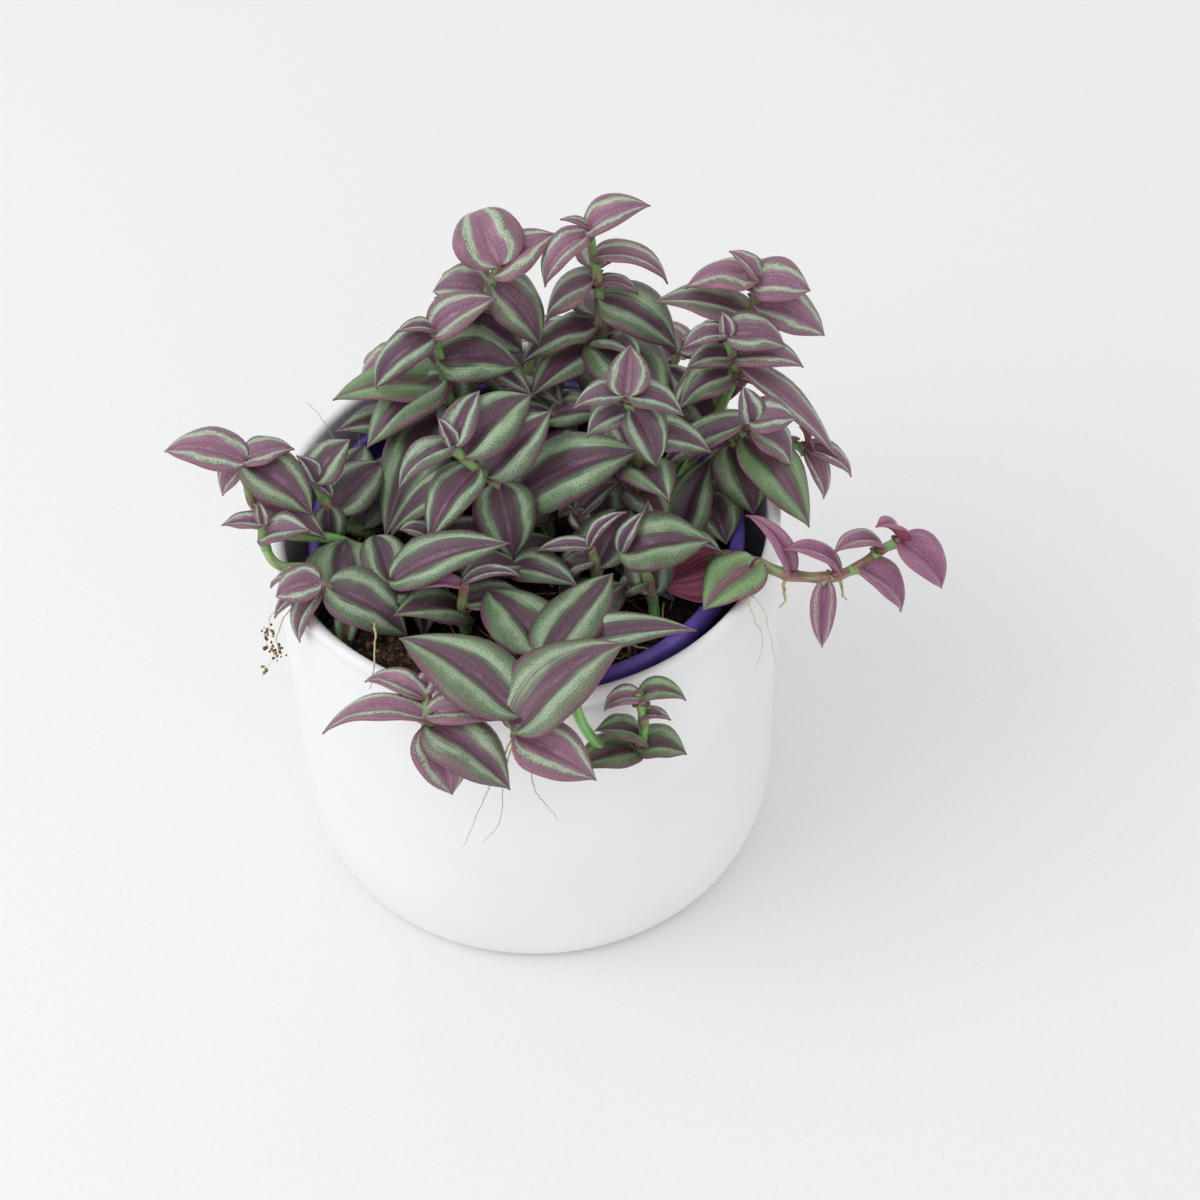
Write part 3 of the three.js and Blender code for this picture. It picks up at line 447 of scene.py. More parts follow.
def moist_peat(tree):
    # Milled peat with composted bark: almost black where wet, rust brown on the dry crumbs.
    at = add(tree, "TexCoord").outputs["Object"]
    crumb = {"Vector": at, "Scale": 1 / (2.2 * MM), "Detail": 6, "Roughness": 0.7}
    crumbs = add(tree, "TexNoise", crumb)
    grains = add(tree, "TexVoronoi", {"Vector": at, "Scale": 1 / (1.1 * MM)})
    mixed = add(tree, "Math", [crumbs, grains], operation="MULTIPLY")
    browns = [(0.08, "#0e0a09"), (0.28, "#241811"), (0.42, "#45301f"), (0.6, "#7a5533")]
    tone = add(tree, "ValToRGB", [mixed], stops=browns)
    # Loose crumbs dry out one by one.
    dry = add(tree, "Attribute", attribute_name="age").outputs["Fac"]
    paler = add(tree, "MapRange", [dry, 0, 1, 1, 3])
    faded = add(tree, "VectorMath", {0: tone, 3: paler}, operation="SCALE")
    bump = add(tree, "Bump", {"Height": mixed, "Strength": 0.9, "Distance": 1.1 * MM})
    return {"Base Color": faded, "Roughness": 0.92, "IOR": 1.4, "Normal": bump}


def peat_fibre(tree):
    # Loose fibres and splinters of bark in the peat, each of its own brown.
    own = add(tree, "Attribute", attribute_name="age").outputs["Fac"]
    browns = [(0, "#2a1a12"), (0.45, "#6b4526"), (0.8, "#a77a45"), (1, "#cfc29a")]
    tone = add(tree, "ValToRGB", [own], stops=browns)
    at = add(tree, "TexCoord").outputs["Object"]
    grain = add(tree, "TexNoise", {"Vector": at, "Scale": 1 / (0.7 * MM), "Detail": 3})
    both = {0: 0.5, 6: tone, 7: grain.outputs["Color"]}
    shade = add(tree, "Mix", both, data_type="RGBA", blend_type="OVERLAY").outputs[2]
    bump = add(tree, "Bump", {"Height": grain, "Strength": 0.5, "Distance": 0.2 * MM})
    return {"Base Color": shade, "Roughness": 0.85, "IOR": 1.4, "Normal": bump}


def leaf_upper(tree):
    # Leaf skin over silvery air-filled cells: a purple stripe on the midrib, green beside it, a
    # broad silver band with painted glints, darker green, and a thin purple margin, under a waxy gloss.
    place = add(tree, "Attribute", attribute_name="place").outputs["Vector"]
    across, along, seed = add(tree, "SeparateXYZ", [place]).outputs
    age = add(tree, "Attribute", attribute_name="age").outputs["Fac"]
    flush = add(tree, "Attribute", attribute_name="flush").outputs["Fac"]
    # The edges of the stripes wander slowly along the leaf, feather out along its veins, and end in
    # cells of about 0.4 mm that are each silver or not.
    slow = add(tree, "VectorMath", [place, (1.3, 3.2, 41)], operation="MULTIPLY")
    wander = add(tree, "TexNoise", {"Vector": slow, "Scale": 1, "Detail": 2})
    veins_at = add(tree, "VectorMath", [place, (22, 1.6, 97)], operation="MULTIPLY")
    vein = {"Vector": veins_at, "Scale": 1, "Detail": 3, "Roughness": 0.6}
    veins = add(tree, "TexNoise", vein)
    at = add(tree, "TexCoord").outputs["Object"]
    cells = add(tree, "TexVoronoi", {"Vector": at, "Scale": 1 / (0.4 * MM)})
    edge = add(tree, "Math", [across], operation="ABSOLUTE")
    for source, least, most, reach in (
        (wander, 0.2, 0.8, 0.13),
        (veins, 0.25, 0.75, 0.09),
        (cells, 0, 0.8, 0.05),
    ):
        shift = add(tree, "MapRange", [source, least, most, -reach, reach])
        edge = add(tree, "Math", [edge, shift])
    # Each leaf has a purple stripe of its own width.
    width_of = add(tree, "MapRange", [seed, 0, 1, 0.85, 1.5])
    whole = add(tree, "Math", [edge, 0], operation="MAXIMUM")
    edge = add(tree, "Math", [whole, width_of], operation="POWER")
    # The flush brings in the sunned colours, painted lighter, and below 0 the shade-grown colours,
    # painted darker as shade.
    shares = {
        "old": add(tree, "Math", [age, 1], operation="MINIMUM"),
        "sunned_painted_light": add(tree, "Math", [flush, 0], operation="ADD", use_clamp=True),
        "magenta": add(tree, "Math", [flush, 1], operation="SUBTRACT", use_clamp=True),
        "shade_grown_painted_shade": add(tree, "Math", [flush, -1], operation="MULTIPLY", use_clamp=True),
        "plain": add(tree, "Math", [age, 1], operation="SUBTRACT", use_clamp=True),
    }
    tone = add(tree, "ValToRGB", [edge], stops=STRIPES["young"])
    for kind, share in shares.items():
        stripes = add(tree, "ValToRGB", [edge], stops=STRIPES[kind])
        tone = add(tree, "Mix", {0: share, 6: tone, 7: stripes}, data_type="RGBA").outputs[2]
    # Tips run out in purple.
    tip = add(tree, "MapRange", [along, 0.82, 1.0, 0, 0.7])
    tipped = add(tree, "Mix", {0: tip, 6: tone, 7: hex_colour("#6b4c5d")}, data_type="RGBA")
    # Painted glints: cell by cell the colour is made up to 1.4 times brighter or a little darker, as if
    # each silver cell caught the light, which also lightens the leaf as a whole.
    glint = add(tree, "MapRange", [cells, 0, 0.8, 1.4, 0.83])
    vein_tone = add(tree, "MapRange", [veins, 0.32, 0.68, 0.8, 1.17])
    lit = add(tree, "Math", [glint, vein_tone], operation="MULTIPLY")
    shaded = add(tree, "VectorMath", {0: tipped.outputs[2], 3: lit}, operation="SCALE")
    gloss = add(tree, "MapRange", [cells, 0, 0.8, 0.27, 0.44])
    bump = add(tree, "Bump", {"Height": veins, "Strength": 0.35, "Distance": 0.25 * MM})
    return {
        "Base Color": shaded,
        "Roughness": gloss,
        "IOR": 1.5,
        "Sheen Weight": 0.06,
        "Normal": bump,
    }


def leaf_underside(tree):
    # The lower skin is full of red sap: an even wine purple with faint lengthwise veins.
    place = add(tree, "Attribute", attribute_name="place").outputs["Vector"]
    veins_at = add(tree, "VectorMath", [place, (14, 1.2, 97)], operation="MULTIPLY")
    veins = add(tree, "TexNoise", {"Vector": veins_at, "Scale": 1, "Detail": 3})
    wines = [(0.3, "#74394f"), (0.5, "#985268"), (0.7, "#b27085")]
    tone = add(tree, "ValToRGB", [veins], stops=wines)
    bump = add(tree, "Bump", {"Height": veins, "Strength": 0.4, "Distance": 0.3 * MM})
    return {"Base Color": tone, "Roughness": 0.4, "IOR": 1.42, "Normal": bump}


def stem_skin(tree):
    # Juicy stems: fresh green, streaked and flushed with brown purple at and above each node.
    place = add(tree, "Attribute", attribute_name="place").outputs["Vector"]
    flush = add(tree, "Attribute", attribute_name="flush").outputs["Fac"]
    long = add(tree, "VectorMath", [place, (1, 1, 0.12)], operation="MULTIPLY")
    streaks = add(tree, "TexNoise", {"Vector": long, "Scale": 1 / (0.8 * MM), "Detail": 4})
    patches = add(tree, "TexNoise", {"Vector": place, "Scale": 1 / (9 * MM), "Detail": 2})
    greens = [(0.3, "#69a55a"), (0.5, "#8bcb76"), (0.7, "#abdd99")]
    reds = [(0.3, "#6b4049"), (0.5, "#94655f"), (0.7, "#ad857b")]
    green, red = (add(tree, "ValToRGB", [streaks], stops=stops) for stops in (greens, reds))
    most = add(tree, "Math", [patches, flush])
    share = add(tree, "MapRange", [most, 0.5, 1.0, 0, 0.95])
    tone = add(tree, "Mix", {0: share, 6: green, 7: red}, data_type="RGBA").outputs[2]
    bump = add(tree, "Bump", {"Height": streaks, "Strength": 0.25, "Distance": 0.2 * MM})
    return {"Base Color": tone, "Roughness": 0.42, "IOR": 1.42, "Normal": bump}


def leaf_sheath(tree):
    # The papery sleeve below each leaf: clear green at its foot, ribbed purple towards its mouth.
    place = add(tree, "Attribute", attribute_name="place").outputs["Vector"]
    mouth = add(tree, "Attribute", attribute_name="flush").outputs["Fac"]
    long = add(tree, "VectorMath", [place, (1, 1, 0.08)], operation="MULTIPLY")
    ribs = add(tree, "TexNoise", {"Vector": long, "Scale": 1 / (0.55 * MM), "Detail": 3})
    uneven = add(tree, "Math", [ribs, 0.5, mouth], operation="MULTIPLY_ADD")
    eased = add(tree, "MapRange", [uneven, 0.1, 1.35, 0, 1])
    sleeve = [(0.25, "#83b76f"), (0.7, "#8fac79"), (0.95, "#8b7479"), (1.0, "#845672")]
    tone = add(tree, "ValToRGB", [eased], stops=sleeve)
    bump = add(tree, "Bump", {"Height": ribs, "Strength": 0.4, "Distance": 0.2 * MM})
    return {"Base Color": tone, "Roughness": 0.5, "IOR": 1.42, "Normal": bump}


def root_skin(tree):
    # Fine aerial roots, pale green to straw and rust coloured, dry and dull.
    place = add(tree, "Attribute", attribute_name="place").outputs["Vector"]
    mottle = add(tree, "TexNoise", {"Vector": place, "Scale": 1 / (2.5 * MM), "Detail": 3})
    straws = [(0.3, "#a47650"), (0.45, "#bcae84"), (0.62, "#c0d6a2")]
    tone = add(tree, "ValToRGB", [mottle], stops=straws)
    return {"Base Color": tone, "Roughness": 0.7, "IOR": 1.4}


def studio_paper(tree):
    # Matt white paper under the pot, with the faintest grain.
    at = add(tree, "TexCoord").outputs["Object"]
    grain = add(tree, "TexNoise", {"Vector": at, "Scale": 1 / (1.5 * MM), "Detail": 2})
    tone = add(tree, "ValToRGB", [grain], stops=[(0.3, "#f1f1f1"), (0.7, "#f4f4f4")])
    return {"Base Color": tone, "Roughness": 0.9}


FINISHES = {
    build.__name__: finish_of(build)
    for build in (
        stoneware_white_glaze,
        moulded_purple_polypropylene,
        moist_peat,
        peat_fibre,
        leaf_upper,
        leaf_underside,
        stem_skin,
        leaf_sheath,
        root_skin,
        studio_paper,
    )
}


class Gathered:
    """Many small forms that become one mesh. Each corner has a place on its form, an age and a flush
    of purple, which on the leaves also carries painted light and shade."""

    def __init__(self):
        self.corners = []
        self.faces = []
        self.finishes = []
        self.places = []
        self.ages = []
        self.flushes = []

    def take(self, corners, faces, places=None, age=0.0, flush=0.0, finish=0):
        """Corners in millimetres. Flush is one number for all the corners, or one for each, and so is
        finish for the faces."""
        first = len(self.corners)
        self.corners.extend(tuple(c) for c in corners)
        self.faces.extend([first + i for i in face] for face in faces)
        self.finishes.extend([finish] * len(faces) if isinstance(finish, int) else finish)
        self.places.extend([(0, 0, 0)] * len(corners) if places is None else map(tuple, places))
        self.ages.extend([age] * len(corners))
        self.flushes.extend([flush] * len(corners) if isinstance(flush, float) else flush)

    def made(self, name, *materials):
        """One piece of them all, in metres, with its finishes."""
        mesh = bpy.data.meshes.new(name)
        mesh.from_pydata([tuple(MM * v for v in c) for c in self.corners], [], self.faces)
        for material in materials:
            mesh.materials.append(FINISHES[material])
        mesh.polygons.foreach_set("material_index", self.finishes)
        places = mesh.attributes.new("place", "FLOAT_VECTOR", "POINT")
        places.data.foreach_set("vector", [v for place in self.places for v in place])
        for word, values in (("age", self.ages), ("flush", self.flushes)):
            mesh.attributes.new(word, "FLOAT", "POINT").data.foreach_set("value", values)
        mesh.shade_smooth()
        mesh.update()
        made = bpy.data.objects.new(name, mesh)
        bpy.context.scene.collection.objects.link(made)
        return made


def unit(v):
    return v / np.linalg.norm(v)


def limited(value, least, most):
    return min(max(value, least), most)


def circle(sides):
    """Angles that are spaced evenly round a circle."""
    return [2 * math.pi * k / sides for k in range(sides)]


def band(a, b, sides):
    """The faces between two rings of corners that start at a and at b."""
    for k in range(sides):
        n = (k + 1) % sides
        yield a + k, a + n, b + n, b + k


def on_stem(route, place):
    """A place on a smooth curve through a stem's route points, counted in points."""
    last = len(route) - 1
    i = min(int(place), last - 1)
    t = place - i
    p, q, r, s = (np.array(route[limited(k, 0, last)], float) for k in (i - 1, i, i + 1, i + 2))
    return 0.5 * (
        2 * q + (r - p) * t + (2 * p - 5 * q + 4 * r - s) * t * t + (3 * q - p - 3 * r + s) * t**3
    )


def stem_radius(route, place):
    return STEM_RADIUS + (STEM_TIP_RADIUS - STEM_RADIUS) * place / (len(route) - 1)


def leaf_frame(root, tip, roll):
    """The unit vectors of a leaf: along its chord, to its side and up from it, and half its chord."""
    chord = tip - root
    half = np.linalg.norm(chord) / 2
    chord = unit(chord)
    level = unit(np.cross(chord, (0, 0, 1)))
    angle = math.radians(roll)
    side = level * math.cos(angle) + np.cross(chord, level) * math.sin(angle)
    return chord, side, np.cross(side, chord), half


def bent_tip(root, tip, lift, turn, size):
    """Where a leaf's tip goes when it is lifted and turned about its root, in degrees, and sized."""
    reach = tip - root
    length = size * np.linalg.norm(reach)
    bearing = math.atan2(reach[1], reach[0]) + math.radians(turn)
    rise = min(math.atan2(reach[2], math.hypot(reach[0], reach[1])) + math.radians(lift), STEEPEST)
    flat = length * math.cos(rise)
    return root + np.array((flat * math.cos(bearing), flat * math.sin(bearing), length * math.sin(rise)))


def tip_corners(root, tip, roll, arch):
    """The two corners that the solid blade has at its tip."""
    chord, _, up, _ = leaf_frame(root, tip, roll)
    angle = math.radians(arch) / 2
    normal = up * math.cos(angle) + chord * math.sin(angle)
    return [tip + normal * face * BLADE_THICKNESS / 2 for face in (1, -1)]


def random_from(seed):
    """Random numbers from 0 to 1, the same as the solids' own."""
    state = seed
    while True:
        state = state * 16807 % 2147483647
        yield state / 2147483647


def leaves_of(shoots):
    """Every leaf that the rules ask for: (shoot, place, root, tip, width, roll, arch)."""
    for name, (route, leaves, _) in shoots.items():
        for place, x, y, z, width, *rest in leaves:
            roll, arch = rest + [0, BLADE_ARCH][len(rest) :]
            yield name, place, on_stem(route, place), np.array((x, y, z), float), width, roll, arch
    # Further leaves, low on the stems, on one side and then the other.
    draw = random_from(2011)
    for name, (route, _, more) in shoots.items():
        start = 360 * next(draw)
        for i in range(more):
            place = 1.4 + 1.2 * i / max(more, 2)
            root = on_stem(route, place)
            bearing = math.radians(start + 180 * i + 50 * next(draw))
            length = 20 + 9 * next(draw)
            rise = 1 + 9 * next(draw)
            tip = root + np.array((length * math.cos(bearing), length * math.sin(bearing), rise))
            yield name, place, root, tip, 13 + 4 * next(draw), 0, BLADE_ARCH


def grown_leaves(shoots):
    """The leaves that the solids have, each with the tip to which it was bent."""
    corners = {}
    for name in shoots:
        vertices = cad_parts[name].data.vertices
        corners[name] = kdtree.KDTree(len(vertices))
        for i, vertex in enumerate(vertices):
            corners[name].insert(vertex.co / MM, i)
        corners[name].balance()
    grown = {name: [] for name in shoots}
    for name, place, root, tip, width, roll, arch in leaves_of(shoots):
        for bend in product(LIFTS, TURNS, SIZES):
            bent = bent_tip(root, tip, *bend)
            pair = tip_corners(root, bent, roll, arch)
            if all(corners[name].find(corner)[2] < SAME_PLACE for corner in pair):
                grown[name].append((place, root, bent, width, roll, arch))
                break
    return grown


def flush_and_painted_light_of(root, tip, width):
    """How purple the light has made a leaf: about 1, with its colours lighter as painted light, where it
    reaches out over the pot or stands high on the crown, 0 in the crown, and less, with its colours
    darker as painted shade, where it grows low down inside."""
    middle = (root + tip) / 2
    out = math.hypot(middle[0], middle[1])
    # Out over the pot, narrow leaves turn more than wide ones.
    narrow = limited((20.5 - width) / 4.5, 0.25, 1.15)
    # Leaves high on the crown and towards the back get the sunned colours, painted lighter.
    high = (middle[2] + 0.35 * middle[1] - 160) / 14
    lit = max((out - 58) / 22 * narrow, high, 0)
    # Leaves low down inside take the darker shade-grown colours as painted shade.
    low = limited((130 - middle[2]) / 14, 0, 1) * limited((68 - out) / 12, 0, 1)
    return lit - 0.65 * low


def leaf(pile, root, tip, width, roll, arch, draw, turning):
    """A blade with a keel at its midrib, two halves that curl over to its edges, and a thin rim."""
    chord, side, up, half = leaf_frame(root, tip, roll)
    turn = math.radians(arch)
    # How far along the leaf each corner is, from 0 to 1, and how far across it, from -1 to 1. The
    # rows lie closer together at the base and the tip.
    rows = 0.5 - 0.5 * np.cos(np.pi * np.linspace(0.07, 0.955, LEAF_ROWS))
    rows = (rows - rows[0]) / (rows[-1] - rows[0]) * 0.975 + 0.01
    columns = np.linspace(-1, 1, LEAF_COLUMNS + 1)
    far, across = np.meshgrid(rows, columns, indexing="ij")
    off = np.abs(across)
    belly = np.sin(np.pi * far)
    # The midrib is an arc from the root to the tip.
    angle = turn * (far - 0.5)
    along = half * (1 + np.sin(angle) / math.sin(turn / 2))
    above = half * (np.cos(angle) - math.cos(turn / 2)) / math.sin(turn / 2)
    normal = up * np.cos(angle)[..., None] + chord * np.sin(angle)[..., None]
    middle = root + chord * along[..., None] + up * above[..., None]
    # A fuller base and a more drawn-out tip than the solid's.
    reach = width / 2 * np.sin(np.pi * far**BLADE_WIDEST) ** (0.7 + 0.1 * far + 0.55 * far**6)
    # Narrow leaves fold more than wide ones. The base wraps the stem, so there the fold closes.
    fold = math.radians(limited(44 - 1.8 * width, 11, 36))
    folds = fold + (math.radians(55) - fold) * np.exp(-far / 0.05)
    # Each half is puffed up between the midrib and its edge, and the edge droops and waves.
    curl = 1 + draw.uniform(0.5, 0.9) * (1 - off)
    rise = off * curl * np.sin(folds)
    puff = draw.uniform(0.08, 0.16) * np.sin(np.pi * off) * belly
    droop = draw.uniform(0.05, 0.16) * across**4 * belly
    phase = draw.uniform(0, 2 * math.pi) + 1.9 * (across > 0)
    waves = 0.05 * np.sin(2 * np.pi * draw.uniform(1.3, 2.2) * far + phase) * across**2
    sway = draw.uniform(-0.05, 0.05) * width * belly
    skin = middle + side * (across * reach * np.cos(folds) + sway)[..., None]
    skin = skin + normal * ((rise + puff - droop + waves) * reach)[..., None]
    faces_up = np.cross(np.gradient(skin, axis=1), np.gradient(skin, axis=0))
    faces_up /= np.linalg.norm(faces_up, axis=2, keepdims=True)
    thick = LEAF_THICKNESS / 2 * (1 - 0.45 * off**3)[..., None]
    top, under = skin + faces_up * thick, skin - faces_up * thick
    # The upper skin and the underside, and then the rim that joins them all round.
    wide = LEAF_COLUMNS + 1
    count = LEAF_ROWS * wide
    faces = []
    for a in (i * wide + j for i in range(LEAF_ROWS - 1) for j in range(LEAF_COLUMNS)):
        faces.append((a, a + 1, a + wide + 1, a + wide))
        faces.append(tuple(count + k for k in (a, a + wide, a + wide + 1, a + 1)))
    finish = [0, 1] * (len(faces) // 2)
    ring = [*range(wide - 1), *range(wide - 1, count - 1, wide)]
    ring += [*range(count - 1, count - wide, -1), *range(count - wide, 0, -wide)]
    faces += [(p, count + p, count + q, q) for p, q in zip(ring, ring[1:] + ring[:1])]
    finish += [1] * len(ring)
    seed = draw.random()
    places = np.stack([across, far, np.full_like(far, seed)], axis=2).reshape(-1, 3)
    age = limited((width - 8) / 11 + draw.uniform(-0.25, 0.25), 0, 1)
    # The flush carries painted light and shade as well as purple.
    flush = limited(flush_and_painted_light_of(root, tip, width) * draw.uniform(0.7, 1.3), -1, 1)
    green, magenta = turning
    if green:
        age = 1 + green
        # Leaves turned green also get a little of the darker shade-grown colours, as painted shade.
        flush = -0.4
    if magenta:
        flush = 1 + magenta
    corners = np.concatenate([top.reshape(-1, 3), under.reshape(-1, 3)])
    pile.take(corners, faces, np.concatenate([places, places]), float(age), float(flush), finish)


def headings(centres):
    """The direction of a line of centres at each of them."""
    last = len(centres) - 1
    return [unit(centres[min(i + 1, last)] - centres[max(i - 1, 0)]) for i in range(last + 1)]


def spokes(aheads, sides):
    """For each direction, the angles and the ways out all round it, carried on without a twist."""
    side = np.array((1.0, 0.13, 0.07))
    for ahead in aheads:
        side = unit(side - ahead * side.dot(ahead))
        other = np.cross(ahead, side)
        yield [(angle, side * math.cos(angle) + other * math.sin(angle)) for angle in circle(sides)]


def rolled_out(radius, angle, run):
    """The place of a tube's corner on its skin, as if the tube were straight, in metres."""
    return MM * radius * math.cos(angle), MM * radius * math.sin(angle), MM * run


def tube(pile, centres, radii, sides, age=0.0, flushes=None):
    """A closed tube along the centres."""
    centres = np.asarray(centres, float)
    runs = accumulate((np.linalg.norm(b - a) for a, b in zip(centres, centres[1:])), initial=0.0)
    corners, places = [], []
    for centre, radius, run, ring in zip(centres, radii, runs, spokes(headings(centres), sides)):
        corners += [centre + out * radius for _, out in ring]
        places += [rolled_out(radius, angle, run) for angle, _ in ring]
    last = (len(centres) - 1) * sides
    faces = [face for a in range(0, last, sides) for face in band(a, a + sides, sides)]
    faces.append(tuple(reversed(range(sides))))
    faces.append(tuple(range(last, last + sides)))
    flush = [flush for flush in flushes for _ in range(sides)] if flushes else 0.0
    pile.take(corners, faces, places, age, flush)


def stem(pile, route, leaves, usual_flush):
    """The stem swells a little at each node, and is flushed there."""
    last = len(route) - 1
    nodes = [root for _, root, *_ in leaves]
    centres, radii, flush = [], [], []
    for i in range(last * STEM_STEPS + 1):
        place = i / STEM_STEPS
        here = on_stem(route, place)
        away = (np.linalg.norm(node - here) / NODE_LENGTH for node in nodes)
        near = max((math.exp(-(distance**2)) for distance in away), default=0)
        centres.append(here)
        radii.append(stem_radius(route, place) * (1 + 0.28 * near))
        flush.append(min(1, near * 0.32 + usual_flush * min(2 * place / last, 1)))
    # One more ring draws the tip in.
    centres.append(2 * centres[-1] - centres[-2])
    radii.append(0.35)
    flush.append(1.0)
    tube(pile, centres, radii, STEM_SIDES, flushes=flush)


def sheath(pile, route, place, root, tip, width):
    """A thin sleeve round the stem below a leaf, which flares where the leaf's base leaves it."""
    length = limited(0.22 * width, 1.5, 4.5)
    pace = np.linalg.norm(root - on_stem(route, max(place - 0.1, 0))) / 0.1
    start = max(place - length / max(pace, 1), 0.9)
    lean = unit(tip - root)
    shares = [i / SHEATH_STEPS for i in range(SHEATH_STEPS + 1)]
    outer, inner = [], []
    for share in shares:
        here = start + (place - start) * share
        centre = on_stem(route, here) + lean * 0.9 * share**3
        flare = 0.75 * share**4 * min(width / 14, 1)
        radius = stem_radius(route, here) * 1.02 + 0.15 + 0.12 * share + flare
        outer.append((centre, radius))
        inner.append((centre - lean * 0.12 * share, radius - SHEATH_THICKNESS))
    # The rings run up the outside to the mouth and back down the inside.
    rings = outer + inner[::-1]
    aheads = headings([centre for centre, _ in outer])
    aheads += aheads[::-1]
    shares += shares[::-1]
    around = spokes(aheads, SHEATH_SIDES)
    corners, places, flush = [], [], []
    for (centre, radius), ahead, share, ring in zip(rings, aheads, shares, around):
        for angle, out in ring:
            slant = 0.9 * out.dot(lean) * share**2
            corners.append(centre + out * radius + ahead * slant)
            places.append(rolled_out(radius, angle, length * share))
            flush.append(share)
    starts = range(0, len(corners), SHEATH_SIDES)
    pairs = zip(starts, [*starts[1:], 0])
    faces = [face for a, b in pairs for face in band(a, b, SHEATH_SIDES)]
    pile.take(corners, faces, places, 0.5, flush, 1)


def shown(piece, slot, *nodes):
    """The piece is attached to the root body, and the solids that it stands for are hidden. The slot is
    not used.
    """
    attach(piece, "root")
    if nodes:
        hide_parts(*nodes)


def plant():
    draw = random.Random(7)
    for name, leaves in grown_leaves(SHOOTS).items():
        route = SHOOTS[name][0]
        blades = Gathered()
        for place, root, tip, width, roll, arch in leaves:
            turning = TURNED.get((name, place), (0, 0))
            leaf(blades, root, tip, width, roll, arch, draw, turning)
        stalk = Gathered()
        stem(stalk, route, leaves, STEM_FLUSH.get(name, USUAL_FLUSH))
        for place, root, tip, width, _, _ in leaves:
            if width >= SHEATHED_WIDTH:
                sheath(stalk, route, place, root, tip, width)
        shown(blades.made(name + "_leaves", "leaf_upper", "leaf_underside"), "tradescantia_plant", name)
        shown(stalk.made(name + "_stem", "stem_skin", "leaf_sheath"), "tradescantia_plant", name)


def turned(name, profile, sides, material):
    """A turned piece from its section of (radius, height) in millimetres, the solid on its left."""
    corners, rows = [], []
    for radius, height in profile:
        if radius == 0:
            rows.append([len(corners)] * sides)
            corners.append((0, 0, height))
            continue
        rows.append([len(corners) + k for k in range(sides)])
        for angle in circle(sides):
            corners.append((radius * math.cos(angle), radius * math.sin(angle), height))
    faces = []
    for a, b in zip(rows, rows[1:]):
        for k in range(sides):
            n = (k + 1) % sides
            face = list(dict.fromkeys((a[k], a[n], b[n], b[k])))
            if len(face) > 2:
                faces.append(face)
    pile = Gathered()
    pile.take(corners, faces)
    return pile.made(name, material)


def foot_corner(inset, bottom, steps):
    """The cachepot's rounded corner between its foot and its wall, set in from its outside."""
    foot, wall = POT_FOOT_RADIUS - inset, POT_CORNER_RADIUS - inset
    for i in range(steps + 1):
        angle = i / steps * math.pi / 2
        out = math.sin(angle) ** (2 / POT_CORNER_POWER)
        up = 1 - math.cos(angle) ** (2 / POT_CORNER_POWER)
        yield foot + (wall - foot) * out, bottom + (POT_CORNER_HEIGHT - bottom) * up


def arc(middle, height, radius, start, end, steps):
    for i in range(steps + 1):
        angle = math.radians(start + (end - start) * i / steps)
        yield middle + radius * math.cos(angle), height + radius * math.sin(angle)


def cachepot():
    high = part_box("cachepot")[1] / MM
    radius, height = high.y, high.z
    lip = POT_WALL / 2
    profile = [
        (0, 0),
        *foot_corner(0, 0, 20),
        (69.75, 70),  # the wall tapers slightly
        # A shallow groove sets the lip off from the wall.
        (radius - 0.05, height - 7),
        (radius - 0.12, height - 5.2),
        (radius - 0.42, height - 4.6),
        (radius - 0.3, height - 4),
        *arc(radius - lip, height - lip, lip, -30, 180, 14),
        (radius - POT_WALL, height - 6),
        *reversed(list(foot_corner(POT_WALL, POT_FLOOR, 14))),
        (0, POT_FLOOR),
    ]
    pot = turned("cachepot_glazed", profile, POT_SIDES, "stoneware_white_glaze")
    shown(pot, "glazed_pot", "cachepot")


def nursery_pot():
    """The nursery pot, and the radius of its outside at the soil's edge."""
    low, high = (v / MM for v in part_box("nursery_pot"))
    radius, top, foot = high.y, high.z, low.z
    neck, inner = top - NURSERY_RIM_HEIGHT, radius - NURSERY_RIM_WIDTH
    neck_radius = inner + NURSERY_WALL
    widening = neck_radius - NURSERY_FOOT_RADIUS
    slope = widening / (neck - foot)
    roll = NURSERY_RIM_ROLL
    profile = [
        (0, foot),
        (NURSERY_FOOT_RADIUS - 1, foot),
        (NURSERY_FOOT_RADIUS, foot + 1),
        (neck_radius, neck),
        (radius - 0.5, neck),
        (radius, neck + 0.5),
        *arc(radius - roll, top - roll, roll, 0, 90, 6),
        *arc(inner + roll, top - roll, roll, 90, 180, 6),
        (inner, neck),
        (inner - 0.2, neck - 1),
        (NURSERY_FOOT_RADIUS + slope * NURSERY_WALL - NURSERY_WALL, foot + NURSERY_WALL),
        (0, foot + NURSERY_WALL),
    ]
    pot = turned("nursery_pot_moulded", profile, NURSERY_SIDES, "moulded_purple_polypropylene")
    shown(pot, "nursery_plastic", "nursery_pot")
    return NURSERY_FOOT_RADIUS + widening * (SOIL_EDGE_HEIGHT - foot) / (neck - foot)


def soil_height(x, y, edge):
    """The soil's lumpy top, by the solids' own formula, and its fine crumbs."""
    share = math.hypot(x, y) / edge
    lumps = math.sin(0.31 * x + 1.7) * math.cos(0.27 * y) + 0.6 * math.sin(0.19 * (x - y) + 0.6)
    crown = SOIL_EDGE_HEIGHT + SOIL_CROWN * (1 - share * share) + SOIL_LUMP * lumps
    return crown + 1.5 * noise.fractal(Vector((x, y, 3.1)) * 0.16, 0.7, 2.1, 5)


def soil(edge):
    """The bed of peat, its loose crumbs and its fibres."""
    room = edge - NURSERY_WALL - GAP
    soil_bed(edge, room)
    draw = random.Random(19)
    soil_crumbs(edge, room, draw)
    soil_fibres(edge, room, draw)


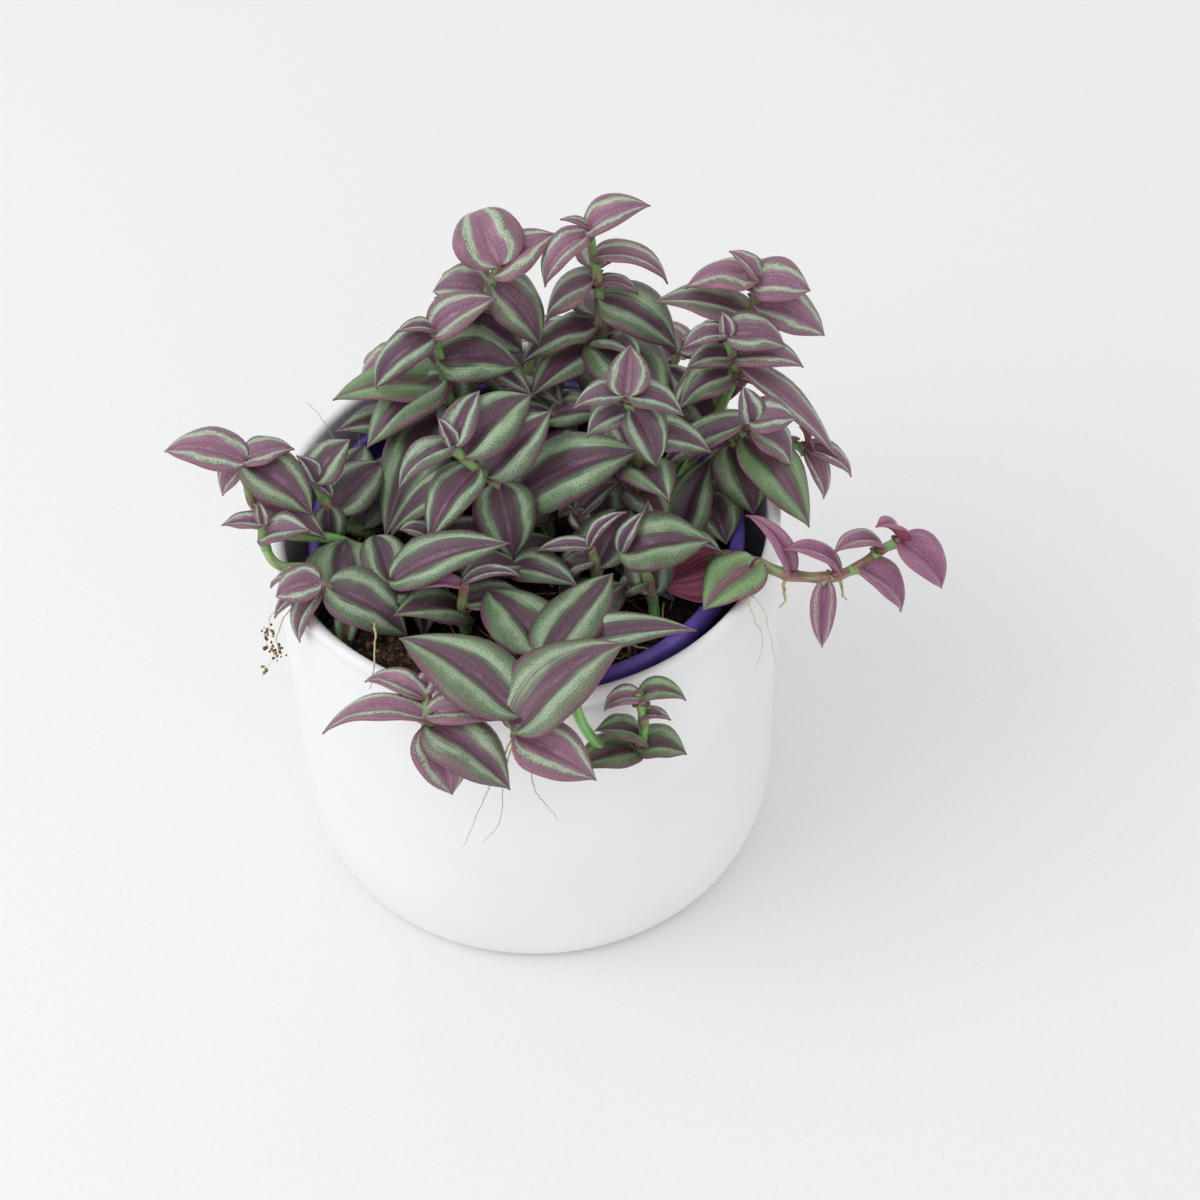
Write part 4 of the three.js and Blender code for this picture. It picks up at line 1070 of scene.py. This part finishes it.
def soil_bed(edge, room):
    corners = [(0, 0, soil_height(0, 0, edge))]
    for i in range(1, SOIL_RINGS + 1):
        for angle in circle(SOIL_SPOKES):
            x, y = (room * i / SOIL_RINGS * f(angle) for f in (math.cos, math.sin))
            corners.append((x, y, soil_height(x, y, edge)))
    last = len(corners)
    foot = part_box("soil")[0].z / MM
    radius = NURSERY_FOOT_RADIUS - NURSERY_WALL - SOIL_FOOT_GAP
    corners += [(radius * math.cos(a), radius * math.sin(a), foot) for a in circle(SOIL_SPOKES)]
    n = SOIL_SPOKES
    faces = [(0, 1 + k, 1 + (k + 1) % n) for k in range(n)]
    for a in range(1, last, n):
        faces += [(a + k, a + n + k, a + n + (k + 1) % n, a + (k + 1) % n) for k in range(n)]
    faces.append(tuple(reversed(range(last, last + n))))
    bed = Gathered()
    bed.take(corners, faces)
    shown(bed.made("soil_bed", "moist_peat"), "potting_soil", "soil")


def soil_crumbs(edge, room, draw):
    loose = Gathered()
    for _ in range(LOOSE_CRUMBS):
        angle, out = draw.uniform(0, 2 * math.pi), room * math.sqrt(draw.random()) * 0.985
        x, y = out * math.cos(angle), out * math.sin(angle)
        size = 0.5 + 1.5 * draw.random() ** 2.5
        lump(loose, (x, y, soil_height(x, y, edge) + 0.3 * size), size, draw)
    # Peat spilt at the front left lies on the rim and in the gap between the pots.
    for _ in range(SPILT_CRUMBS):
        angle, out = math.radians(draw.gauss(230, 11)), draw.uniform(53, 65.6)
        size = 0.6 + 1.3 * draw.random() ** 2
        heap = 112.5 if out < 61 else 109 + 3.5 * draw.random()
        at = (out * math.cos(angle), out * math.sin(angle), heap + 0.6 * draw.random())
        lump(loose, at, size, draw)
    shown(loose.made("soil_crumbs", "moist_peat"), "potting_soil")


def soil_fibres(edge, room, draw):
    fibres = Gathered()
    for _ in range(FIBRES):
        angle, out = draw.uniform(0, 2 * math.pi), room * math.sqrt(draw.random()) * 0.93
        x, y = out * math.cos(angle), out * math.sin(angle)
        length, heading = draw.uniform(4, 15), draw.uniform(0, 2 * math.pi)
        bend, lift = draw.uniform(-0.9, 0.9), draw.uniform(0.1, 1.6)
        points = []
        for i in range(FIBRE_STEPS + 1):
            share = i / FIBRE_STEPS
            x += length / FIBRE_STEPS * math.cos(heading + bend * share)
            y += length / FIBRE_STEPS * math.sin(heading + bend * share)
            if math.hypot(x, y) > room:
                break
            points.append((x, y, soil_height(x, y, edge) + 0.25 + lift * math.sin(math.pi * share)))
        if len(points) > 2:
            radius = draw.uniform(0.12, 0.34)
            radii = [radius] * (len(points) - 1) + [radius / 3]
            tube(fibres, points, radii, FIBRE_SIDES, draw.random() ** 1.3)
    shown(fibres.made("soil_fibres", "peat_fibre"), "potting_soil")


def lump(pile, at, size, draw):
    """A rough crumb: a squashed ball of 3 rings, each corner drawn in or out."""
    stretch = [draw.uniform(0.7, 1.25) for _ in range(3)]
    n = LUMP_SIDES
    corners = [(0, 0, -1)]
    for height in (-0.55, 0.1, 0.65):
        for k in range(n):
            angle = 2 * math.pi * (k + height) / n
            reach = math.sqrt(1 - height * height) * draw.uniform(0.8, 1.2)
            corners.append((reach * math.cos(angle), reach * math.sin(angle), height))
    corners.append((0, 0, 1))
    corners = [tuple(a + size * c * k for a, c, k in zip(at, corner, stretch)) for corner in corners]
    faces = [(0, 1 + (k + 1) % n, 1 + k) for k in range(n)]
    faces += [*band(1, 1 + n, n), *band(1 + n, 1 + 2 * n, n)]
    top = 1 + 2 * n
    faces += [(top + k, top + (k + 1) % n, top + n) for k in range(n)]
    pile.take(corners, faces, age=draw.random())


# Aerial roots: their points, and the radius where they leave the stem.
ROOTS = [
    ([(-5, -80, 121), (-9, -85, 117), (-13, -84, 104.5), (-17, -84, 92.5), (-21.7, -82, 75.2)], 0.3),
    ([(-4, -80, 121), (-8, -86, 116), (-10.3, -85, 101.3), (-11.6, -84, 87), (-16.5, -83, 78.5)], 0.28),
    ([(-4, -82, 121), (-3, -87, 115), (-1.6, -85, 100.5), (1.2, -84, 93.2), (3.6, -84, 87.1)], 0.26),
    ([(-41, -30, 112), (-41, -46, 124), (-40.7, -58, 127), (-42.9, -60, 116)], 0.42),
    ([(67.5, -34, 121), (67.2, -36, 118), (67.6, -36, 114), (66, -37, 112.5)], 0.6),
    ([(82.2, -35, 121), (82.5, -35.5, 118), (83.1, -36, 114.5), (84.5, -36, 112.5)], 0.55),
    (
        [(-52, -31, 122), (-62, -33, 121.5), (-68.2, -36, 121), (-70.2, -36, 113.3),
         (-71.2, -36, 109)],
        0.2,
    ),
    (
        [(-52, -31, 122), (-63, -34, 121), (-68, -36, 112), (-67.8, -36, 106), (-71.5, -36, 101.1),
         (-73.7, -36, 96.4)],
        0.2,
    ),
    ([(50, -22, 117), (56, -40, 121.5), (58, -47, 120), (60.5, -48, 112), (59, -48, 102)], 0.22),
    ([(52, -22, 118), (58, -40, 121.5), (61, -45, 120), (63, -47, 110), (64.5, -47, 100)], 0.18),
    ([(-44, 22, 109), (-50, 32, 112), (-54, 37, 117), (-57, 39, 123), (-59.5, 38, 127.5)], 0.16),
    ([(-44, 22, 109), (-49, 28, 113), (-53, 30, 116), (-56, 27, 119), (-58, 31, 121)], 0.13),
    ([(-42, 26, 108), (-46, 31, 112), (-46, 37, 116), (-50, 42, 117), (-49, 45, 119)], 0.13),
    ([(-45, 20, 108), (-51, 22, 113), (-56, 21, 115), (-59, 17, 116)], 0.12),
    ([(25, -48, 114), (25, -46, 108), (22, -44, 104), (16, -42, 102.5)], 0.4),
    ([(25, -48, 114), (28, -44, 108), (33, -42, 104), (38, -40, 101.5)], 0.38),
    ([(25, -47, 113), (25, -40, 106), (29, -36, 102.5)], 0.4),
]
# Where crumbs of peat cling to the roots at the left: a cluster's middle, spread and count.
CLUSTERS = [((-70, -36, 114), 1.5, 16), ((-68.5, -36, 106.5), 2.1, 24), ((-72.5, -36, 99), 0.9, 5)]


def aerial_roots():
    draw = random.Random(31)
    pile, crumbs = Gathered(), Gathered()
    for points, radius in ROOTS:
        last = (len(points) - 1) * ROOT_STEPS
        route = []
        for i in range(last + 1):
            wobble = np.array([draw.uniform(-0.25, 0.25) for _ in range(3)])
            route.append(on_stem(points, i / ROOT_STEPS) + wobble)
        radii = [radius * (1 - 0.75 * i / last) for i in range(last + 1)]
        tube(pile, route, radii, ROOT_SIDES)
    for middle, spread, count in CLUSTERS:
        for _ in range(count):
            near = tuple(v + draw.gauss(0, spread * 0.6) for v in middle)
            lump(crumbs, near, draw.uniform(0.25, 0.6), draw)
    shown(pile.made("aerial_roots", "root_skin"), "tradescantia_plant")
    shown(crumbs.made("root_crumbs", "peat_fibre"), "potting_soil")


def studio():
    """Pale paper, one broad light from the upper left, and a white room."""
    bpy.ops.mesh.primitive_plane_add(size=6, location=(0, 0, 0))
    paper = bpy.context.object
    paper.name = "paper_floor"
    paper.data.materials.append(FINISHES["studio_paper"])
    paper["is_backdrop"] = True
    world = bpy.data.worlds.new("white_room")
    bpy.context.scene.world = world
    world.use_nodes = True
    sky = world.node_tree.nodes["Background"].inputs
    sky["Color"].default_value = (1, 1, 1, 1)
    sky["Strength"].default_value = 0.8
    for name, at, size, power in (
        ("window_left", (-1.1, -0.35, 1.25), 1.3, 8.6),
        ("fill_front", (0.2, -1.6, 1.0), 1.2, 1.2),
    ):
        lamp = bpy.data.lights.new(name, "AREA")
        lamp.size = size
        lamp.energy = power
        holder = bpy.data.objects.new(name, lamp)
        holder.location = at
        aim = Vector((0, 0, 0.09)) - holder.location
        holder.rotation_euler = aim.to_track_quat("-Z", "Y").to_euler()
        bpy.context.scene.collection.objects.link(holder)
    bpy.context.scene.view_settings.view_transform = "Standard"


def camera():
    """The photograph's own view: from above the front, turned and rolled a little."""
    yaw, pitch, roll = 0.0371, 0.8221, -0.0334
    ahead = np.array(
        (math.sin(yaw) * math.cos(pitch), math.cos(yaw) * math.cos(pitch), -math.sin(pitch))
    )
    right = unit(np.cross(ahead, (0, 0, 1)))
    up = np.cross(right, ahead)
    turned_right = math.cos(roll) * right + math.sin(roll) * up
    turned_up = math.cos(roll) * up - math.sin(roll) * right
    lens = bpy.data.cameras.new("view")
    lens.sensor_width = 36
    lens.lens = 82.07
    lens.clip_start = 0.01
    holder = bpy.data.objects.new("view", lens)
    rotation = Matrix([turned_right, turned_up, -ahead]).transposed()
    holder.matrix_world = Matrix.Translation((0, -0.5289, 0.6495)) @ rotation.to_4x4()
    bpy.context.scene.collection.objects.link(holder)
    bpy.context.scene.camera = holder


camera()
studio()
cachepot()
soil(nursery_pot())
plant()
aerial_roots()

boxes = {"cad": cad_box, "visual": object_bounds()}
{name: [list(corner) for corner in box] for name, box in boxes.items()}
